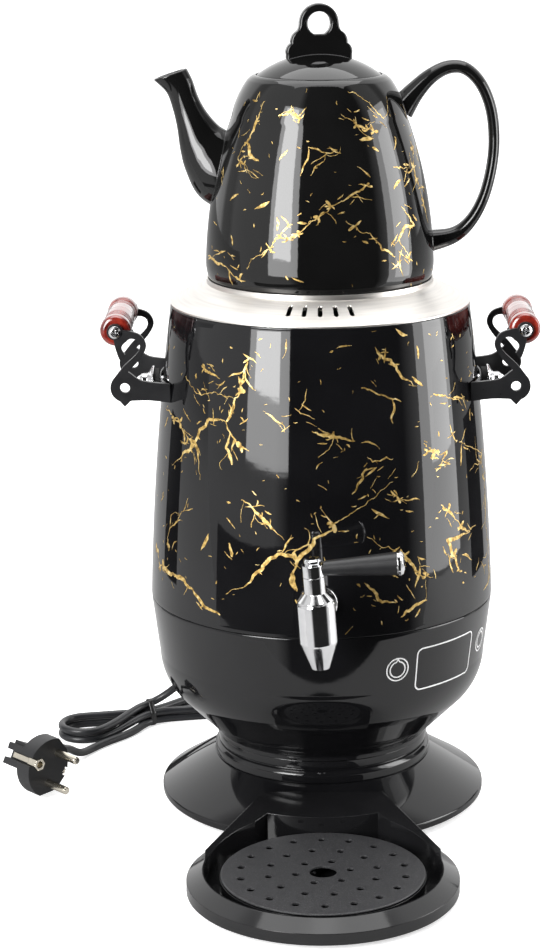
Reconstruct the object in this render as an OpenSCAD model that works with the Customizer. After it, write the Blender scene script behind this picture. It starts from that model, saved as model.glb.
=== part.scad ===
// Electric samovar: a water boiler on a stepped foot, a teapot on its vented lid,
// a lever tap over a sliding drip tray, two turned side grips and a mains lead.
// Frame: origin on the boiler's axis at table level, +Z up, the tap faces -Y,
// the teapot's spout points to -X.

/* [Foot] */
// Radius of the foot disc
foot_r = 98; // [92:1:104]
// Height of the rubber feet below the foot disc
feet_h = 4; // [3:0.5:6]
// Radius of a rubber foot
feet_r = 8; // [6:0.5:10]
// Height of the foot disc's upright rim
foot_rim_h = 4.5; // [3:0.5:6]
// Rise of the foot disc's slope from rim to neck
foot_slope_h = 19.7; // [17:0.5:22]
// Wall thickness of the black mouldings
housing_wall = 3; // [2.5:0.5:3.5]

/* [Neck] */
// Radius of the neck
neck_r = 63.3; // [62:0.1:65]
// Height of the neck, flange and groove included
neck_h = 13.8; // [12:0.2:16]
// How far the flange at the neck's bottom stands proud
neck_flange = 2; // [1:0.5:3]

/* [Bowl] */
// Height of the bowl-shaped housing
bowl_h = 87.8; // [86:0.2:90]
// Radius of the bowl at its top edge
bowl_top_r = 102.2; // [101:0.2:104]
// Height of the bowl's 45 degree underside
bowl_cone_h = 27.5; // [26:0.5:28]
// Width of the display window
display_w = 50; // [44:1:52]
// Height of the display window
display_h = 27; // [24:1:30]
// Direction of the display window, in degrees from +X
display_turn = -43; // [-48:1:-38]

/* [Boiler] */
// Height of the painted shell
shell_h = 175; // [165:1:185]
// Radius of the shell at its top edge
shell_top_r = 87.9; // [87:0.1:89]
// Thickness of the shell's steel
shell_t = 1.2; // [0.8:0.1:1.5]
// Room between the water tank and the shell's top edge
tank_room = 7.9; // [7:0.1:10]
// Thickness of the tank's steel
tank_t = 1; // [0.8:0.1:1.2]
// Radius of the heater plate under the tank
heater_r = 60; // [50:1:64]

/* [Boiler lid] */
// Rise of the lid's cone
lid_rise = 10.6; // [9:0.2:12]
// Outer radius of the collar that holds the teapot
collar_r = 66.4; // [66:0.1:67]
// Height of the collar above the cone
collar_h = 3; // [2:0.5:4]
// Thickness of the lid's steel
lid_t = 1; // [0.8:0.1:1.2]
// Number of steam slots at the front
slot_count = 5; // [3:2:9]

/* [Teapot] */
// Height of the teapot from its base to the lid seam
pot_h = 124.2; // [120:0.2:130]
// Largest radius of the teapot
pot_r = 66.6; // [66:0.1:67.4]
// Thickness of the teapot's ceramic wall
pot_wall = 3.5; // [3:0.5:4]
// Radius of the teapot's mouth
mouth_r = 31; // [28:0.5:32]
// Rise of the teapot lid's dome
dome_h = 11.6; // [10:0.2:13]
// Radius of the hole in the lid's knob
knob_hole_r = 6.7; // [5:0.1:7.5]

/* [Tap] */
// Distance of the tap's spindle from the boiler's axis
tap_reach = 137; // [132:1:145]
// Height of the tap's shank above the bowl's top edge
tap_rise = 21; // [18:0.5:30]
// Sideways lean of the tap about its shank
tap_lean = 4; // [0:0.5:6]
// Radius of the tap's barrel
barrel_r = 10.7; // [9.5:0.1:12]
// Radius of the tap's threaded shank
shank_r = 5.5; // [5:0.1:6]
// Length of the lever's black grip
grip_len = 41; // [30:1:50]

/* [Side handles] */
// Distance of the brackets from the middle, front and rear
bracket_y = 35; // [32:0.5:38]
// Thickness of the bracket plates
bracket_t = 2.6; // [2:0.1:3.5]
// Largest radius of the turned grip
handle_r = 9; // [7:0.1:9.5]
// Radius of the long bolt through the grip
bolt_r = 2; // [1.5:0.1:2.5]

/* [Drip tray] */
// Radius of the tray
tray_r = 76; // [74:0.5:78]
// Distance of the tray's centre from the boiler's axis
tray_reach = 158; // [156:0.5:164]
// Wall thickness of the tray
tray_wall = 2.2; // [2:0.1:2.6]
// Radius of the grille
grille_r = 57; // [55:0.1:57]
// Radius of a drain hole in the grille
drain_r = 2.3; // [1.5:0.1:3]

/* [Mains lead] */
// Diameter of the mains lead
cord_d = 5; // [4.5:0.1:7]
// Radius of the plug's round face
plug_r = 18.6; // [17:0.1:18.9]

/* [Hidden] */
$fn = 96;
eps = 0.01;
gap = 0.3;

// Colours
black_gloss = [0.05, 0.05, 0.05];
black_satin = [0.12, 0.12, 0.12];
dark_grey = [0.25, 0.25, 0.26];
steel = [0.75, 0.74, 0.72];
chrome = [0.85, 0.85, 0.86];
lacquer = [0.5, 0.12, 0.1];
brass = [0.8, 0.68, 0.4];
board_green = [0.15, 0.4, 0.2];
white_plastic = [0.88, 0.88, 0.86];

// Levels, from the table up
foot_z = feet_h;
rim_top_z = foot_z + foot_rim_h;
neck_z = rim_top_z + foot_slope_h;
bowl_z = neck_z + neck_h;
seam_z = bowl_z + bowl_h;
gasket_t = 0.6;
shell_z = seam_z + gasket_t;
shell_top_z = shell_z + shell_h;
lid_z = shell_top_z + gap;
lid_rim_h = 0.9;
collar_z = lid_z + lid_rim_h + lid_rise;
collar_top_z = collar_z + collar_h;
seat_drop = 7.4;
seat_z = collar_top_z - seat_drop;
pot_z = seat_z + gap;
pot_top_z = pot_z + pot_h;

// ---- Outline helpers ----

function unit(v) = v / norm(v);

// Points of a circular arc from a to b that bulges to the right of the way from a to b
function arc_points(a, b, bulge, steps) =
  let (chord = norm(b - a), along = unit(b - a), side = [along.y, -along.x])
  let (r = (chord * chord / 4 + bulge * bulge) / (2 * bulge))
  let (centre = (a + b) / 2 + side * (bulge - r))
  let (half = asin(chord / 2 / r), mid = atan2(side.y, side.x))
  [for (i = [0 : steps]) centre + r * [cos(mid - half + 2 * half * i / steps),
                                       sin(mid - half + 2 * half * i / steps)]];

// The outline moved by d to the left of its own direction
function inset(points, d) =
  let (last = len(points) - 1)
  [for (i = [0 : last])
    let (before = unit(points[max(i, 1)] - points[max(i, 1) - 1]))
    let (after = unit(points[min(i, last - 1) + 1] - points[min(i, last - 1)]))
    let (t = unit(before + after), mitre = d / (t * before))
    points[i] + mitre * [-t.y, t.x]];

function backwards(list) = [for (i = [len(list) - 1 : -1 : 0]) list[i]];

// Radius of an outline of [r, z] points at height z
function radius_at(points, z) =
  let (i = max([for (k = [0 : len(points) - 2]) points[k].y <= z ? k : 0]))
  let (a = points[i], b = points[i + 1])
  a.x + (b.x - a.x) * (z - a.y) / (b.y - a.y);

module turned(points) {
  rotate_extrude() polygon(points);
}

module wall_of(outline, t) {
  turned(concat(outline, backwards(inset(outline, t))));
}

module ring(r_out, r_in, z_low, z_high) {
  translate([0, 0, z_low]) difference() {
    cylinder(r = r_out, h = z_high - z_low);
    translate([0, 0, -1]) cylinder(r = r_in, h = z_high - z_low + 2);
  }
}

module around(count, radius, first = 0) {
  for (i = [0 : count - 1]) rotate([0, 0, first + 360 * i / count]) translate([radius, 0, 0]) children();
}

// Rectangle with round corners, centred, in the XY plane
module round_rect(w, h, r) {
  square([w - 2 * r, h], center = true);
  square([w, h - 2 * r], center = true);
  for (x = [-1, 1], y = [-1, 1]) translate([x * (w / 2 - r), y * (h / 2 - r)]) circle(r);
}

// Slot with round ends along X, centred
module slot_shape(length, width) {
  square([length - width, width], center = true);
  for (x = [-1, 1]) translate([x * (length - width) / 2, 0]) circle(width / 2);
}

// Closed skin over rings of points that all have the same count
module skin(rings) {
  n = len(rings[0]);
  last = len(rings) - 1;
  points = [for (one = rings) each one];
  sides = [for (i = [0 : last - 1], k = [0 : n - 1])
    let (a = i * n + k, b = i * n + (k + 1) % n)
    each [[a, a + n, b], [b, a + n, b + n]]];
  ends = [[for (k = [0 : n - 1]) k], [for (k = [n - 1 : -1 : 0]) last * n + k]];
  polyhedron(points = points, faces = concat(sides, ends));
}

// Catmull-Rom points through a list, with a number of steps between each pair
function smooth(p, steps) =
  let (last = len(p) - 1)
  [for (i = [0 : last - 1], s = [0 : steps - 1])
    let (u = s / steps, a = p[max(i - 1, 0)], b = p[i], c = p[i + 1], d = p[min(i + 2, last)])
    0.5 * (2 * b + (c - a) * u + (2 * a - 5 * b + 4 * c - d) * u * u
      + (3 * b - a - 3 * c + d) * u * u * u),
   p[last]];

function cord_ring(p, t, r, n) =
  let (side = unit(cross(t, [0, 0, 1])), up = cross(side, t))
  [for (k = [0 : n - 1]) p + r * (cos(360 * k / n) * side + sin(360 * k / n) * up)];

module cord_tube(path) {
  last = len(path) - 1;
  skin([for (i = [0 : last])
    cord_ring(path[i], unit(path[min(i + 1, last)] - path[max(i - 1, 0)]), cord_d / 2, 10)]);
}

// ---- Foot ----

foot_top_r = neck_r + neck_flange + 0.2;
feet_ring_r = foot_r - 18;
cover_gap = 0.3;
cover_t = 2;
cover_z = foot_z + cover_gap;
cover_r = foot_r - housing_wall - cover_gap;
cover_screw_ring_r = foot_r - 20;
screw_r = 1.75;
screw_head_r = 3.4;
cable_hole_r = 20;
neck_screw_ring_r = neck_r - 11.3;
neck_screw_r = 2;
boss_r = 5;

module rubber_feet() {
  color(black_satin) around(4, feet_ring_r, 45) cylinder(r = feet_r, h = cover_z);
}

module base_cover() {
  color(black_satin) difference() {
    translate([0, 0, cover_z]) cylinder(r = cover_r, h = cover_t);
    around(4, cover_screw_ring_r) translate([0, 0, foot_z]) cylinder(r = screw_r + 0.2, h = 5);
    for (ring_r = [12, 22]) around(8, ring_r) translate([0, 0, foot_z]) cylinder(r = 1.6, h = 5);
  }
}

cover_boss_h = 11.2;

module cover_screws() {
  color(steel) around(4, cover_screw_ring_r) {
    translate([0, 0, cover_z - 1.6]) cylinder(r = screw_head_r, h = 1.6);
    translate([0, 0, cover_z - eps]) cylinder(r = screw_r, h = cover_t + cover_boss_h - 1);
  }
}

module foot_disc() {
  edge = 1;
  color(black_gloss) difference() {
    union() {
      turned([
        [cable_hole_r, neck_z], [cable_hole_r, neck_z - housing_wall],
        [foot_top_r - 2, neck_z - housing_wall], [foot_r - housing_wall, rim_top_z - 1.5],
        [foot_r - housing_wall, foot_z], [foot_r - edge, foot_z], [foot_r, foot_z + edge],
        [foot_r, rim_top_z], [foot_top_r, neck_z]]);
      around(4, cover_screw_ring_r) translate([0, 0, cover_z + cover_t])
        cylinder(r = 4, h = cover_boss_h);
    }
    around(4, cover_screw_ring_r) translate([0, 0, foot_z])
      cylinder(r = screw_r + 0.05, h = cover_gap + cover_t + cover_boss_h - 0.5);
    around(4, neck_screw_ring_r, 45) translate([0, 0, neck_z - housing_wall - 1])
      cylinder(r = neck_screw_r + 0.2, h = housing_wall + 2);
  }
}

// ---- Neck ----

module neck_ring() {
  flange_r = neck_r + neck_flange;
  flange_h = 5.2;
  groove = 0.9;
  inner_r = neck_r - housing_wall;
  color(black_gloss) difference() {
    union() {
      turned([
        [inner_r, neck_z], [flange_r - 0.5, neck_z], [flange_r, neck_z + 0.6],
        [flange_r, neck_z + flange_h], [flange_r - 1.6, neck_z + flange_h + 2.2],
        [neck_r - groove, neck_z + flange_h + 2.4], [neck_r - groove, neck_z + flange_h + 3.2],
        [neck_r, neck_z + flange_h + 3.4], [neck_r, bowl_z], [inner_r, bowl_z]]);
      around(4, neck_screw_ring_r, 45) translate([0, 0, neck_z]) {
        cylinder(r = boss_r, h = neck_h);
        translate([0, -2, 0]) cube([inner_r + 1 - neck_screw_ring_r, 4, neck_h]);
      }
    }
    around(4, neck_screw_ring_r, 45) translate([0, 0, neck_z - 1])
      cylinder(r = neck_screw_r + 0.2, h = neck_h + 2);
  }
}

bowl_boss_h = 8;

module neck_screws() {
  head_h = 2.2;
  color(steel) around(4, neck_screw_ring_r, 45) {
    translate([0, 0, neck_z - housing_wall - head_h]) cylinder(r = 3.8, h = head_h);
    translate([0, 0, neck_z - housing_wall - eps])
      cylinder(r = neck_screw_r, h = housing_wall + neck_h + housing_wall + bowl_boss_h - 1.5);
  }
}

// ---- Bowl housing and its electronics ----

bowl_low_r = neck_r + 0.7;
bowl_straight_h = 2;
bowl_curve_h = 24.5;
bowl_side_slope = 4.2 / 36;
bowl_outline =
  let (cone_top = bowl_low_r + bowl_cone_h - 3)
  let (a = [cone_top, bowl_z + bowl_cone_h])
  let (side_h = bowl_h - bowl_cone_h - bowl_curve_h)
  let (b = [bowl_top_r - side_h * bowl_side_slope, bowl_z + bowl_cone_h + bowl_curve_h])
  concat([[bowl_low_r, bowl_z], [bowl_low_r, bowl_z + 3]],
         arc_points(a, b, 2.25, 6),
         [[bowl_top_r, seam_z - bowl_straight_h], [bowl_top_r, seam_z]]);
display_z = bowl_z + 63;
display_corner_r = 5;
tank_r = shell_top_r - tank_room;
support_z = seam_z - 5.4;
support_t = 1.5;
board_posts = [29, 12];
board_post_r = 2.2;
module_depth = 10.8;
module_r = radius_at(bowl_outline, display_z) - module_depth;
gland_turn = 135;
gland_z = bowl_z + 32;
gland_r = radius_at(bowl_outline, gland_z);
gland_tilt = 126.9;
gland_hole_r = cord_d / 2 + 2.5;

module at_display() {
  rotate([0, 0, display_turn]) translate([0, 0, display_z]) rotate([0, 90, 0]) rotate([0, 0, 90]) children();
}

module at_gland() {
  rotate([0, 0, gland_turn]) translate([gland_r, 0, gland_z]) rotate([0, gland_tilt, 0]) children();
}

module display_cut(extra) {
  at_display() linear_extrude(bowl_top_r + 10)
    round_rect(display_w + 2 * extra, display_h + 2 * extra, display_corner_r + extra);
}

module bowl_wall() {
  wall_of(bowl_outline, housing_wall);
}

module bowl_housing() {
  rib_out = radius_at(bowl_outline, support_z - 20) - 0.1;
  rib_depth = 11.2;
  color(black_gloss) difference() {
    union() {
      difference() {
        bowl_wall();
        display_cut(0.15);
      }
      ring(bowl_low_r - 1, cable_hole_r, bowl_z, bowl_z + housing_wall);
      around(4, neck_screw_ring_r, 45) translate([0, 0, bowl_z + 1])
        cylinder(r = boss_r, h = housing_wall - 1 + bowl_boss_h);
      around(6, rib_out - rib_depth, 55) translate([0, -1.5, support_z - 20])
        cube([rib_depth, 3, 20]);
      at_display() for (x = [-1, 1], y = [-1, 1])
        translate([x * board_posts.x, y * board_posts.y, module_r]) cylinder(r = board_post_r, h = 6);
      for (x = [-1, 1], y = [-1, 1]) translate([x * 31, 8 + y * 21, bowl_z + 1])
        cylinder(r = 2.5, h = housing_wall - 1 + board_stand_h);
    }
    around(4, neck_screw_ring_r, 45) translate([0, 0, bowl_z - 1])
      cylinder(r = neck_screw_r + 0.05, h = housing_wall + bowl_boss_h);
    at_gland() translate([0, 0, -20]) cylinder(r = gland_hole_r + 0.1, h = 40);
  }
}

module display_window() {
  color(black_gloss) intersection() {
    bowl_wall();
    display_cut(0);
  }
}

module display_module() {
  color(dark_grey) at_display() translate([-21, -10, module_r]) cube([42, 20, 3]);
}

module display_board() {
  board_t = 1.6;
  color(board_green) at_display() translate([-32, -15, module_r - board_t]) cube([64, 30, board_t]);
}

board_stand_h = 6;
board_z = bowl_z + housing_wall + board_stand_h;

module control_board() {
  color(board_green) translate([-34, -16, board_z]) cube([68, 48, 1.6]);
}

module board_parts() {
  part_z = board_z + 1.6;
  color(dark_grey) {
    translate([-28, -10, part_z]) cube([24, 20, 17]);
    translate([2, -10, part_z]) cube([15, 19, 15]);
    translate([-24, 16, part_z]) cube([34, 10, 12]);
    translate([24, 20, part_z]) cylinder(r = 5, h = 16);
    translate([24, 2, part_z]) cylinder(r = 4, h = 12);
  }
}

// ---- Water tank and heater ----

tank_z = support_z + support_t;
tank_flange_z = shell_top_z - tank_t;
flange_out_r = shell_top_r - shell_t - 0.4;
heater_t = 4;
heater_z = tank_z - heater_t;
element_r = heater_r - 18;
element_tube_r = 4;

module support_plate() {
  color(steel) ring(radius_at(bowl_outline, support_z) - housing_wall - gap, heater_r + 8,
                    support_z, support_z + support_t);
}

module water_tank() {
  color(steel) difference() {
    union() {
      ring(tank_r, tank_r - tank_t, tank_z, shell_top_z);
      translate([0, 0, tank_z]) cylinder(r = tank_r - eps, h = tank_t);
      ring(flange_out_r, tank_r - tank_t, tank_flange_z, shell_top_z);
    }
    at_tap() shank_hole(0.1);
  }
}

module heater_plate() {
  color(steel) translate([0, 0, heater_z]) cylinder(r = heater_r, h = heater_t);
}

module heating_element() {
  color(dark_grey) {
    translate([0, 0, heater_z - element_tube_r]) rotate([0, 0, 20])
      rotate_extrude(angle = 320) translate([element_r, 0]) circle(element_tube_r);
    for (a = [20, 340]) rotate([0, 0, a]) translate([element_r, 0, heater_z - element_tube_r - 14])
      cylinder(r = 2.5, h = 14);
  }
}

module thermostat() {
  color(white_plastic) translate([0, 0, heater_z - 10]) {
    cylinder(r = 12, h = 10);
    translate([-8, -3, -6]) cube([16, 6, 6 + eps]);
  }
}

module thermal_cutout() {
  color(brass) rotate([0, 0, 180]) translate([element_r - 16, 0, heater_z - 6]) {
    cylinder(r = 6, h = 6);
    translate([-4, -1, -5]) cube([8, 2, 5 + eps]);
  }
}

// ---- Shell ----

shell_low_r = bowl_top_r + 0.2;
shell_edge = 1.5;
shell_bulge = 2;
shell_outline = concat(
  [[shell_low_r, shell_z], [shell_low_r, shell_z + shell_edge]],
  arc_points([shell_low_r - 0.05, shell_z + shell_edge + 1],
             [shell_top_r + 0.3, shell_top_z - shell_edge - 3], shell_bulge, 10),
  [[shell_top_r, shell_top_z - shell_edge], [shell_top_r, shell_top_z]]);
shell_rim_z = tank_flange_z - shell_t;

module seam_gasket() {
  color(black_satin) ring(bowl_top_r - 0.8, bowl_top_r - housing_wall, seam_z, shell_z);
}

module outer_shell() {
  color(black_gloss) difference() {
    union() {
      wall_of(shell_outline, shell_t);
      ring(shell_top_r - shell_t + 0.5, tank_r + 2, shell_rim_z, tank_flange_z);
      ring(shell_low_r - shell_t + 0.5, shell_low_r - 6, shell_z, shell_z + shell_t);
    }
    at_tap() shank_hole(0.1);
    for (side = [0, 1]) mirror([side, 0, 0]) stud_hole(0.1);
  }
}

// ---- Tap, in a frame on the spindle with +Y towards the boiler ----

tap_z = seam_z + tap_rise;
tap_turn = -1;
shank_end = tap_reach - tank_r + 16;
shell_face = tap_reach - radius_at(shell_outline, tap_z);
barrel_top = 12.3;
barrel_low = -10.7;
nozzle_low = -26.5;
nozzle_r = 5.2;
bonnet_r = 6.1;
bonnet_base = 17.5;
bonnet_top = 26.6;
hub_top = 33.4;
lever_z = 30.9;
rotor_r = 6.4;
stem_r = 2.6;
run_fit = 0.05;
water_r = 3.5;

module at_tap() {
  rotate([0, 0, tap_turn]) translate([0, -tap_reach, tap_z]) rotate([0, -tap_lean, 0]) children();
}

module along_shank() {
  rotate([-90, 0, 0]) children();
}

module shank_hole(extra) {
  along_shank() translate([0, 0, shell_face - 10]) cylinder(r = shank_r + extra, h = shank_end);
}

module tap_body() {
  shoulder = 1.2;
  color(chrome) at_tap() difference() {
    union() {
      turned([
        [0, nozzle_low], [nozzle_r - 0.5, nozzle_low], [nozzle_r, nozzle_low + 0.5],
        [barrel_r - 0.3, barrel_low - 1], [barrel_r, barrel_low], [barrel_r, barrel_top - shoulder],
        [barrel_r - 0.5, barrel_top], [0, barrel_top]]);
      along_shank() cylinder(r = shank_r, h = shank_end);
    }
    translate([0, 0, -rotor_r - 3]) cylinder(r = rotor_r + run_fit, h = barrel_top + rotor_r + 4);
    translate([0, 0, nozzle_low - 1]) cylinder(r = water_r, h = 20);
    along_shank() translate([0, 0, rotor_r]) cylinder(r = water_r, h = shank_end);
  }
}

module tap_bonnet() {
  color(chrome) at_tap() difference() {
    union() {
      turned([
        [0, barrel_top], [barrel_r - 0.6, barrel_top], [barrel_r - 0.4, barrel_top + 0.8],
        [bonnet_r + 0.2, bonnet_base - 0.2], [bonnet_r, bonnet_base], [bonnet_r, bonnet_top],
        [0, bonnet_top]]);
      translate([0, 0, barrel_top - 2]) cylinder(r = rotor_r, h = 2 + eps);
    }
    translate([0, 0, barrel_top - 3]) cylinder(r = stem_r + run_fit, h = 20);
  }
}

module tap_flange() {
  flange_r = 11.3;
  color(chrome) difference() {
    at_tap() along_shank() turned([
      [shank_r + 0.1, shell_face - 3], [flange_r - 2.4, shell_face - 3],
      [flange_r - 0.6, shell_face - 1.8], [flange_r, shell_face - 0.4],
      [flange_r, shell_face + 1.2], [shank_r + 0.1, shell_face + 1.2]]);
    rotate_extrude($fn = 360) polygon(concat([[0, shell_z]], inset(shell_outline, -0.1), [[0, shell_top_z]]));
  }
}

// The boiler's axis seen from the shank's own frame
module at_shell_axis() {
  translate([0, 0, tap_reach]) rotate([0, 0, -tap_lean]) rotate([90, 0, 0]) children();
}

washer_r = 10;

module tap_washers() {
  color(black_satin) at_tap() along_shank() difference() {
    translate([0, 0, tap_reach - tank_r - 4]) cylinder(r = washer_r, h = 9);
    translate([0, 0, tap_reach - tank_r - 6]) cylinder(r = shank_r + 0.05, h = 14);
    at_shell_axis() translate([0, 0, -60]) difference() {
      cylinder(r = tank_r + 0.06, h = 120, $fn = 360);
      translate([0, 0, -1]) cylinder(r = tank_r - tank_t - 0.06, h = 122, $fn = 360);
    }
  }
}

module tap_nut() {
  color(brass) at_tap() along_shank() translate([0, 0, tap_reach - tank_r + 5]) difference() {
    cylinder(r = washer_r, h = 6, $fn = 6);
    translate([0, 0, -1]) cylinder(r = shank_r + 0.05, h = 8);
  }
}

module tap_spindle() {
  color(chrome) at_tap() difference() {
    union() {
      translate([0, 0, -rotor_r - 1]) cylinder(r = rotor_r, h = 2 * rotor_r + 2);
      cylinder(r = stem_r, h = bonnet_top + 2);
      translate([0, 0, bonnet_top + 0.2]) cylinder(r = bonnet_r, h = hub_top - bonnet_top - 0.2);
    }
    translate([0, 0, -rotor_r - 2]) cylinder(r = water_r - 0.5, h = rotor_r + 2);
    rotate([0, -90, 0]) cylinder(r = water_r - 0.5, h = 20);
    translate([rod_in, 0, lever_z]) rotate([0, 90, 0]) cylinder(r = rod_r + 0.02, h = 20);
    translate([0, 0, hub_top - 2]) cylinder(r = 2, h = 3);
  }
}

module tap_cap() {
  cap_r = 4.9;
  color(chrome) at_tap() translate([0, 0, hub_top]) {
    turned([[0, 0], [cap_r - 0.4, 0], [cap_r - 0.4, 0.8], [cap_r, 1.4], [cap_r, 2.6],
            [cap_r - 1, 3.6], [0, 3.9]]);
    translate([0, 0, -2]) cylinder(r = 2, h = 2 + eps);
  }
}

rod_r = 2;
rod_in = 2.3;
grip_start = 4.9;
grip_r_small = 4;
grip_r_large = 6.5;

module along_lever() {
  at_tap() translate([0, 0, lever_z]) rotate([0, 90, 0]) children();
}

module lever_rod() {
  color(chrome) along_lever() translate([0, 0, rod_in]) cylinder(r = rod_r, h = grip_start + grip_len - rod_in);
}

module lever_grip() {
  hub_clear = bonnet_r + 0.15;
  color(black_satin) along_lever() difference() {
    translate([0, 0, grip_start]) cylinder(r1 = grip_r_small, r2 = grip_r_large, h = grip_len - 0.1);
    translate([0, 0, grip_start - 1]) cylinder(r = rod_r + 0.03, h = grip_len + 2);
    rotate([0, 90, 0]) translate([0, 0, -20]) cylinder(r = hub_clear, h = 40);
  }
}

module lever_end_cap() {
  cap_r = grip_r_large + 0.5;
  color(chrome) along_lever() translate([0, 0, grip_start + grip_len])
    turned([[0, 0], [cap_r - 0.4, 0], [cap_r, 0.5], [cap_r, 2], [cap_r - 1, 3.4],
            [cap_r - 3, 4.2], [0, 4.4]]);
}

// ---- Side handles, drawn on the right; x is the distance from the axis of a boiler whose
// shell has drawn_shell_r at the stud, and handle_out moves them to the shell that there is ----

handle_drop = shell_top_z - 305.6;
lobe_c = [113, 261.5];
lobe_r = 8.4;
eye_c = [118, 294.3];
eye_r = 4.7;
lobe_hole_r = 2.9;
arm_root = 84;
hook_back = [[115, 295.5], [109.3, 294.8], [103, 292.1], [100.3, 285.7], [103.9, 278.6], [111, 271]];
arm_top = [[109.3, 269.8], [104.6, 266.3], [98.4, 264.8], [arm_root, 263.5]];
arm_bottom = [[arm_root, 252.3], [98.7, 254.1], [109.8, 253.9]];
spike = [[113.2, 250.4], [116.5, 254.2]];
hook_front = [
  [118.8, 267.6], [113.2, 274.6], [104.9, 282.8], [104.4, 288.4], [109.4, 290.4], [114.5, 285.4],
  [112.5, 281]];
curl = [[113.1, 279.9], [115.4, 277.8], [118, 285], [119, 291]];
stud_r = 3;
stud_z = handle_drop + 258;
drawn_shell_r = 93.35;
handle_out = radius_at(shell_outline, stud_z) - drawn_shell_r;
bracket_clear_r = radius_at(shell_outline, stud_z - 6) + 0.1;
strap_t = 0.9;
strap_r = bracket_clear_r + strap_t;
bracket_turn = asin((bracket_y - 1) / strap_r);

// Side view of a bracket's plate: from the eye over the hook to the arm, and back up inside it
module bracket_shape() {
  difference() {
    union() {
      polygon(concat(
        smooth(hook_back, 4), smooth(arm_top, 3), smooth(arm_bottom, 3), spike, [lobe_c],
        smooth(hook_front, 4), smooth(curl, 4)));
      translate(lobe_c) circle(lobe_r);
      translate(eye_c) circle(eye_r);
    }
    translate(lobe_c) circle(lobe_hole_r);
    translate(eye_c) circle(bolt_r + 0.1);
  }
}

module bracket() {
  translate([0, 0, handle_drop]) {
    for (y = [-bracket_y, bracket_y]) translate([handle_out, y + bracket_t / 2, 0])
      rotate([90, 0, 0]) linear_extrude(bracket_t) bracket_shape();
    rotate([0, 0, -bracket_turn]) rotate_extrude(angle = 2 * bracket_turn)
      translate([bracket_clear_r, 253]) square([strap_t, 10]);
  }
}

module bracket_cleared() {
  difference() {
    bracket();
    translate([0, 0, stud_z - 18]) cylinder(r = bracket_clear_r, h = 30);
    stud_hole(0.1);
  }
}

module stud_hole(extra) {
  translate([drawn_shell_r + handle_out - 13, 0, stud_z]) rotate([0, 90, 0])
    cylinder(r = stud_r + extra, h = 40);
}

module handle_bracket_left() {
  color(black_satin) mirror([1, 0, 0]) bracket_cleared();
}

module handle_bracket_right() {
  color(black_satin) bracket_cleared();
}

// Turned grip along its own axis, from -half to half
module handle_grip() {
  half = bracket_y - bracket_t / 2;
  bead = 11;
  groove_r = handle_r - 1.7;
  barrel = handle_r - 0.5;
  right_half = concat(
    [[0, half], [handle_r - 2.4, half], [handle_r - 0.8, half - 0.8], [handle_r, half - 2.6],
     [handle_r, half - bead + 3], [handle_r - 0.6, half - bead + 1]],
    [[groove_r, half - bead], [groove_r, half - bead - 1.4], [barrel - 0.3, half - bead - 2]],
    [for (i = [0 : 2]) each [[barrel, half - bead - 3 - 2.4 * i],
                             [barrel, half - bead - 4.2 - 2.4 * i],
                             [barrel - 0.5, half - bead - 4.8 - 2.4 * i]]],
    [[barrel, half - bead - 10.6]]);
  left_half = [for (p = backwards(right_half)) [p.x, -p.y]];
  translate([eye_c.x + handle_out, 0, eye_c.y + handle_drop]) rotate([90, 0, 0]) difference() {
    turned(concat(right_half, left_half));
    translate([0, 0, -half - 1]) cylinder(r = bolt_r + 0.1, h = 2 * half + 2);
  }
}

module handle_grip_left() {
  color(lacquer) mirror([1, 0, 0]) handle_grip();
}

module handle_grip_right() {
  color(lacquer) handle_grip();
}

bolt_head_r = 3.6;
bolt_tail = 5.4;

module handle_bolt() {
  front = bracket_y + bracket_t / 2;
  translate([eye_c.x + handle_out, 0, eye_c.y + handle_drop]) rotate([90, 0, 0]) {
    translate([0, 0, -front - bolt_tail]) cylinder(r = bolt_r, h = 2 * front + bolt_tail);
    translate([0, 0, front]) difference() {
      turned([[0, 0], [bolt_head_r, 0], [bolt_head_r, 1], [bolt_head_r - 1.2, 2], [0, 2.3]]);
      for (a = [0, 90]) rotate([0, 0, a]) translate([-2, -0.35, 1.2]) cube([4, 0.7, 2]);
    }
  }
}

module handle_bolt_left() {
  color(chrome) mirror([1, 0, 0]) handle_bolt();
}

module handle_bolt_right() {
  color(chrome) handle_bolt();
}

module handle_bolt_nuts() {
  front = bracket_y + bracket_t / 2;
  color(chrome) for (side = [0, 1]) mirror([side, 0, 0])
    translate([eye_c.x + handle_out, front, eye_c.y + handle_drop]) rotate([-90, 0, 0]) difference() {
      union() {
        cylinder(r = 4, h = 3.4, $fn = 6);
        translate([0, 0, 3.4 - eps]) cylinder(r1 = 3.3, r2 = 2.2, h = 2.8);
      }
      translate([0, 0, -1]) cylinder(r = bolt_r + 0.05, h = 1 + bolt_tail + 0.1);
    }
}

spacer_face = 98.2 + handle_out;
spacer_in = 90 + handle_out;

module bracket_spacers() {
  color(black_satin) for (side = [0, 1]) mirror([side, 0, 0])
    difference() {
      translate([spacer_in, 0, stud_z]) rotate([0, 90, 0]) cylinder(r = 7.4, h = spacer_face - spacer_in);
      stud_hole(0.1);
      translate([0, 0, stud_z - 18]) cylinder(r = strap_r, h = 40);
    }
}

// Chrome nut with a wide flange, on a stud that passes through strap and shell
module bracket_nuts() {
  color(chrome) for (side = [0, 1]) mirror([side, 0, 0])
    translate([0, 0, stud_z]) rotate([0, 90, 0]) union() {
      translate([0, 0, spacer_face]) turned([
        [0, 0], [8.8, 0], [9, 0.6], [8.6, 1.4], [5.6, 3], [4.6, 4.2], [4.6, 7], [3.4, 8.6], [0, 9]]);
      translate([0, 0, stud_in]) cylinder(r = stud_r, h = spacer_face - stud_in + eps);
      translate([0, 0, stud_in]) cylinder(r = 6, h = 2.2, $fn = 6);
    }
}

stud_in = drawn_shell_r + handle_out - shell_t - 2.6;

// ---- Boiler lid ----

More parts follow.
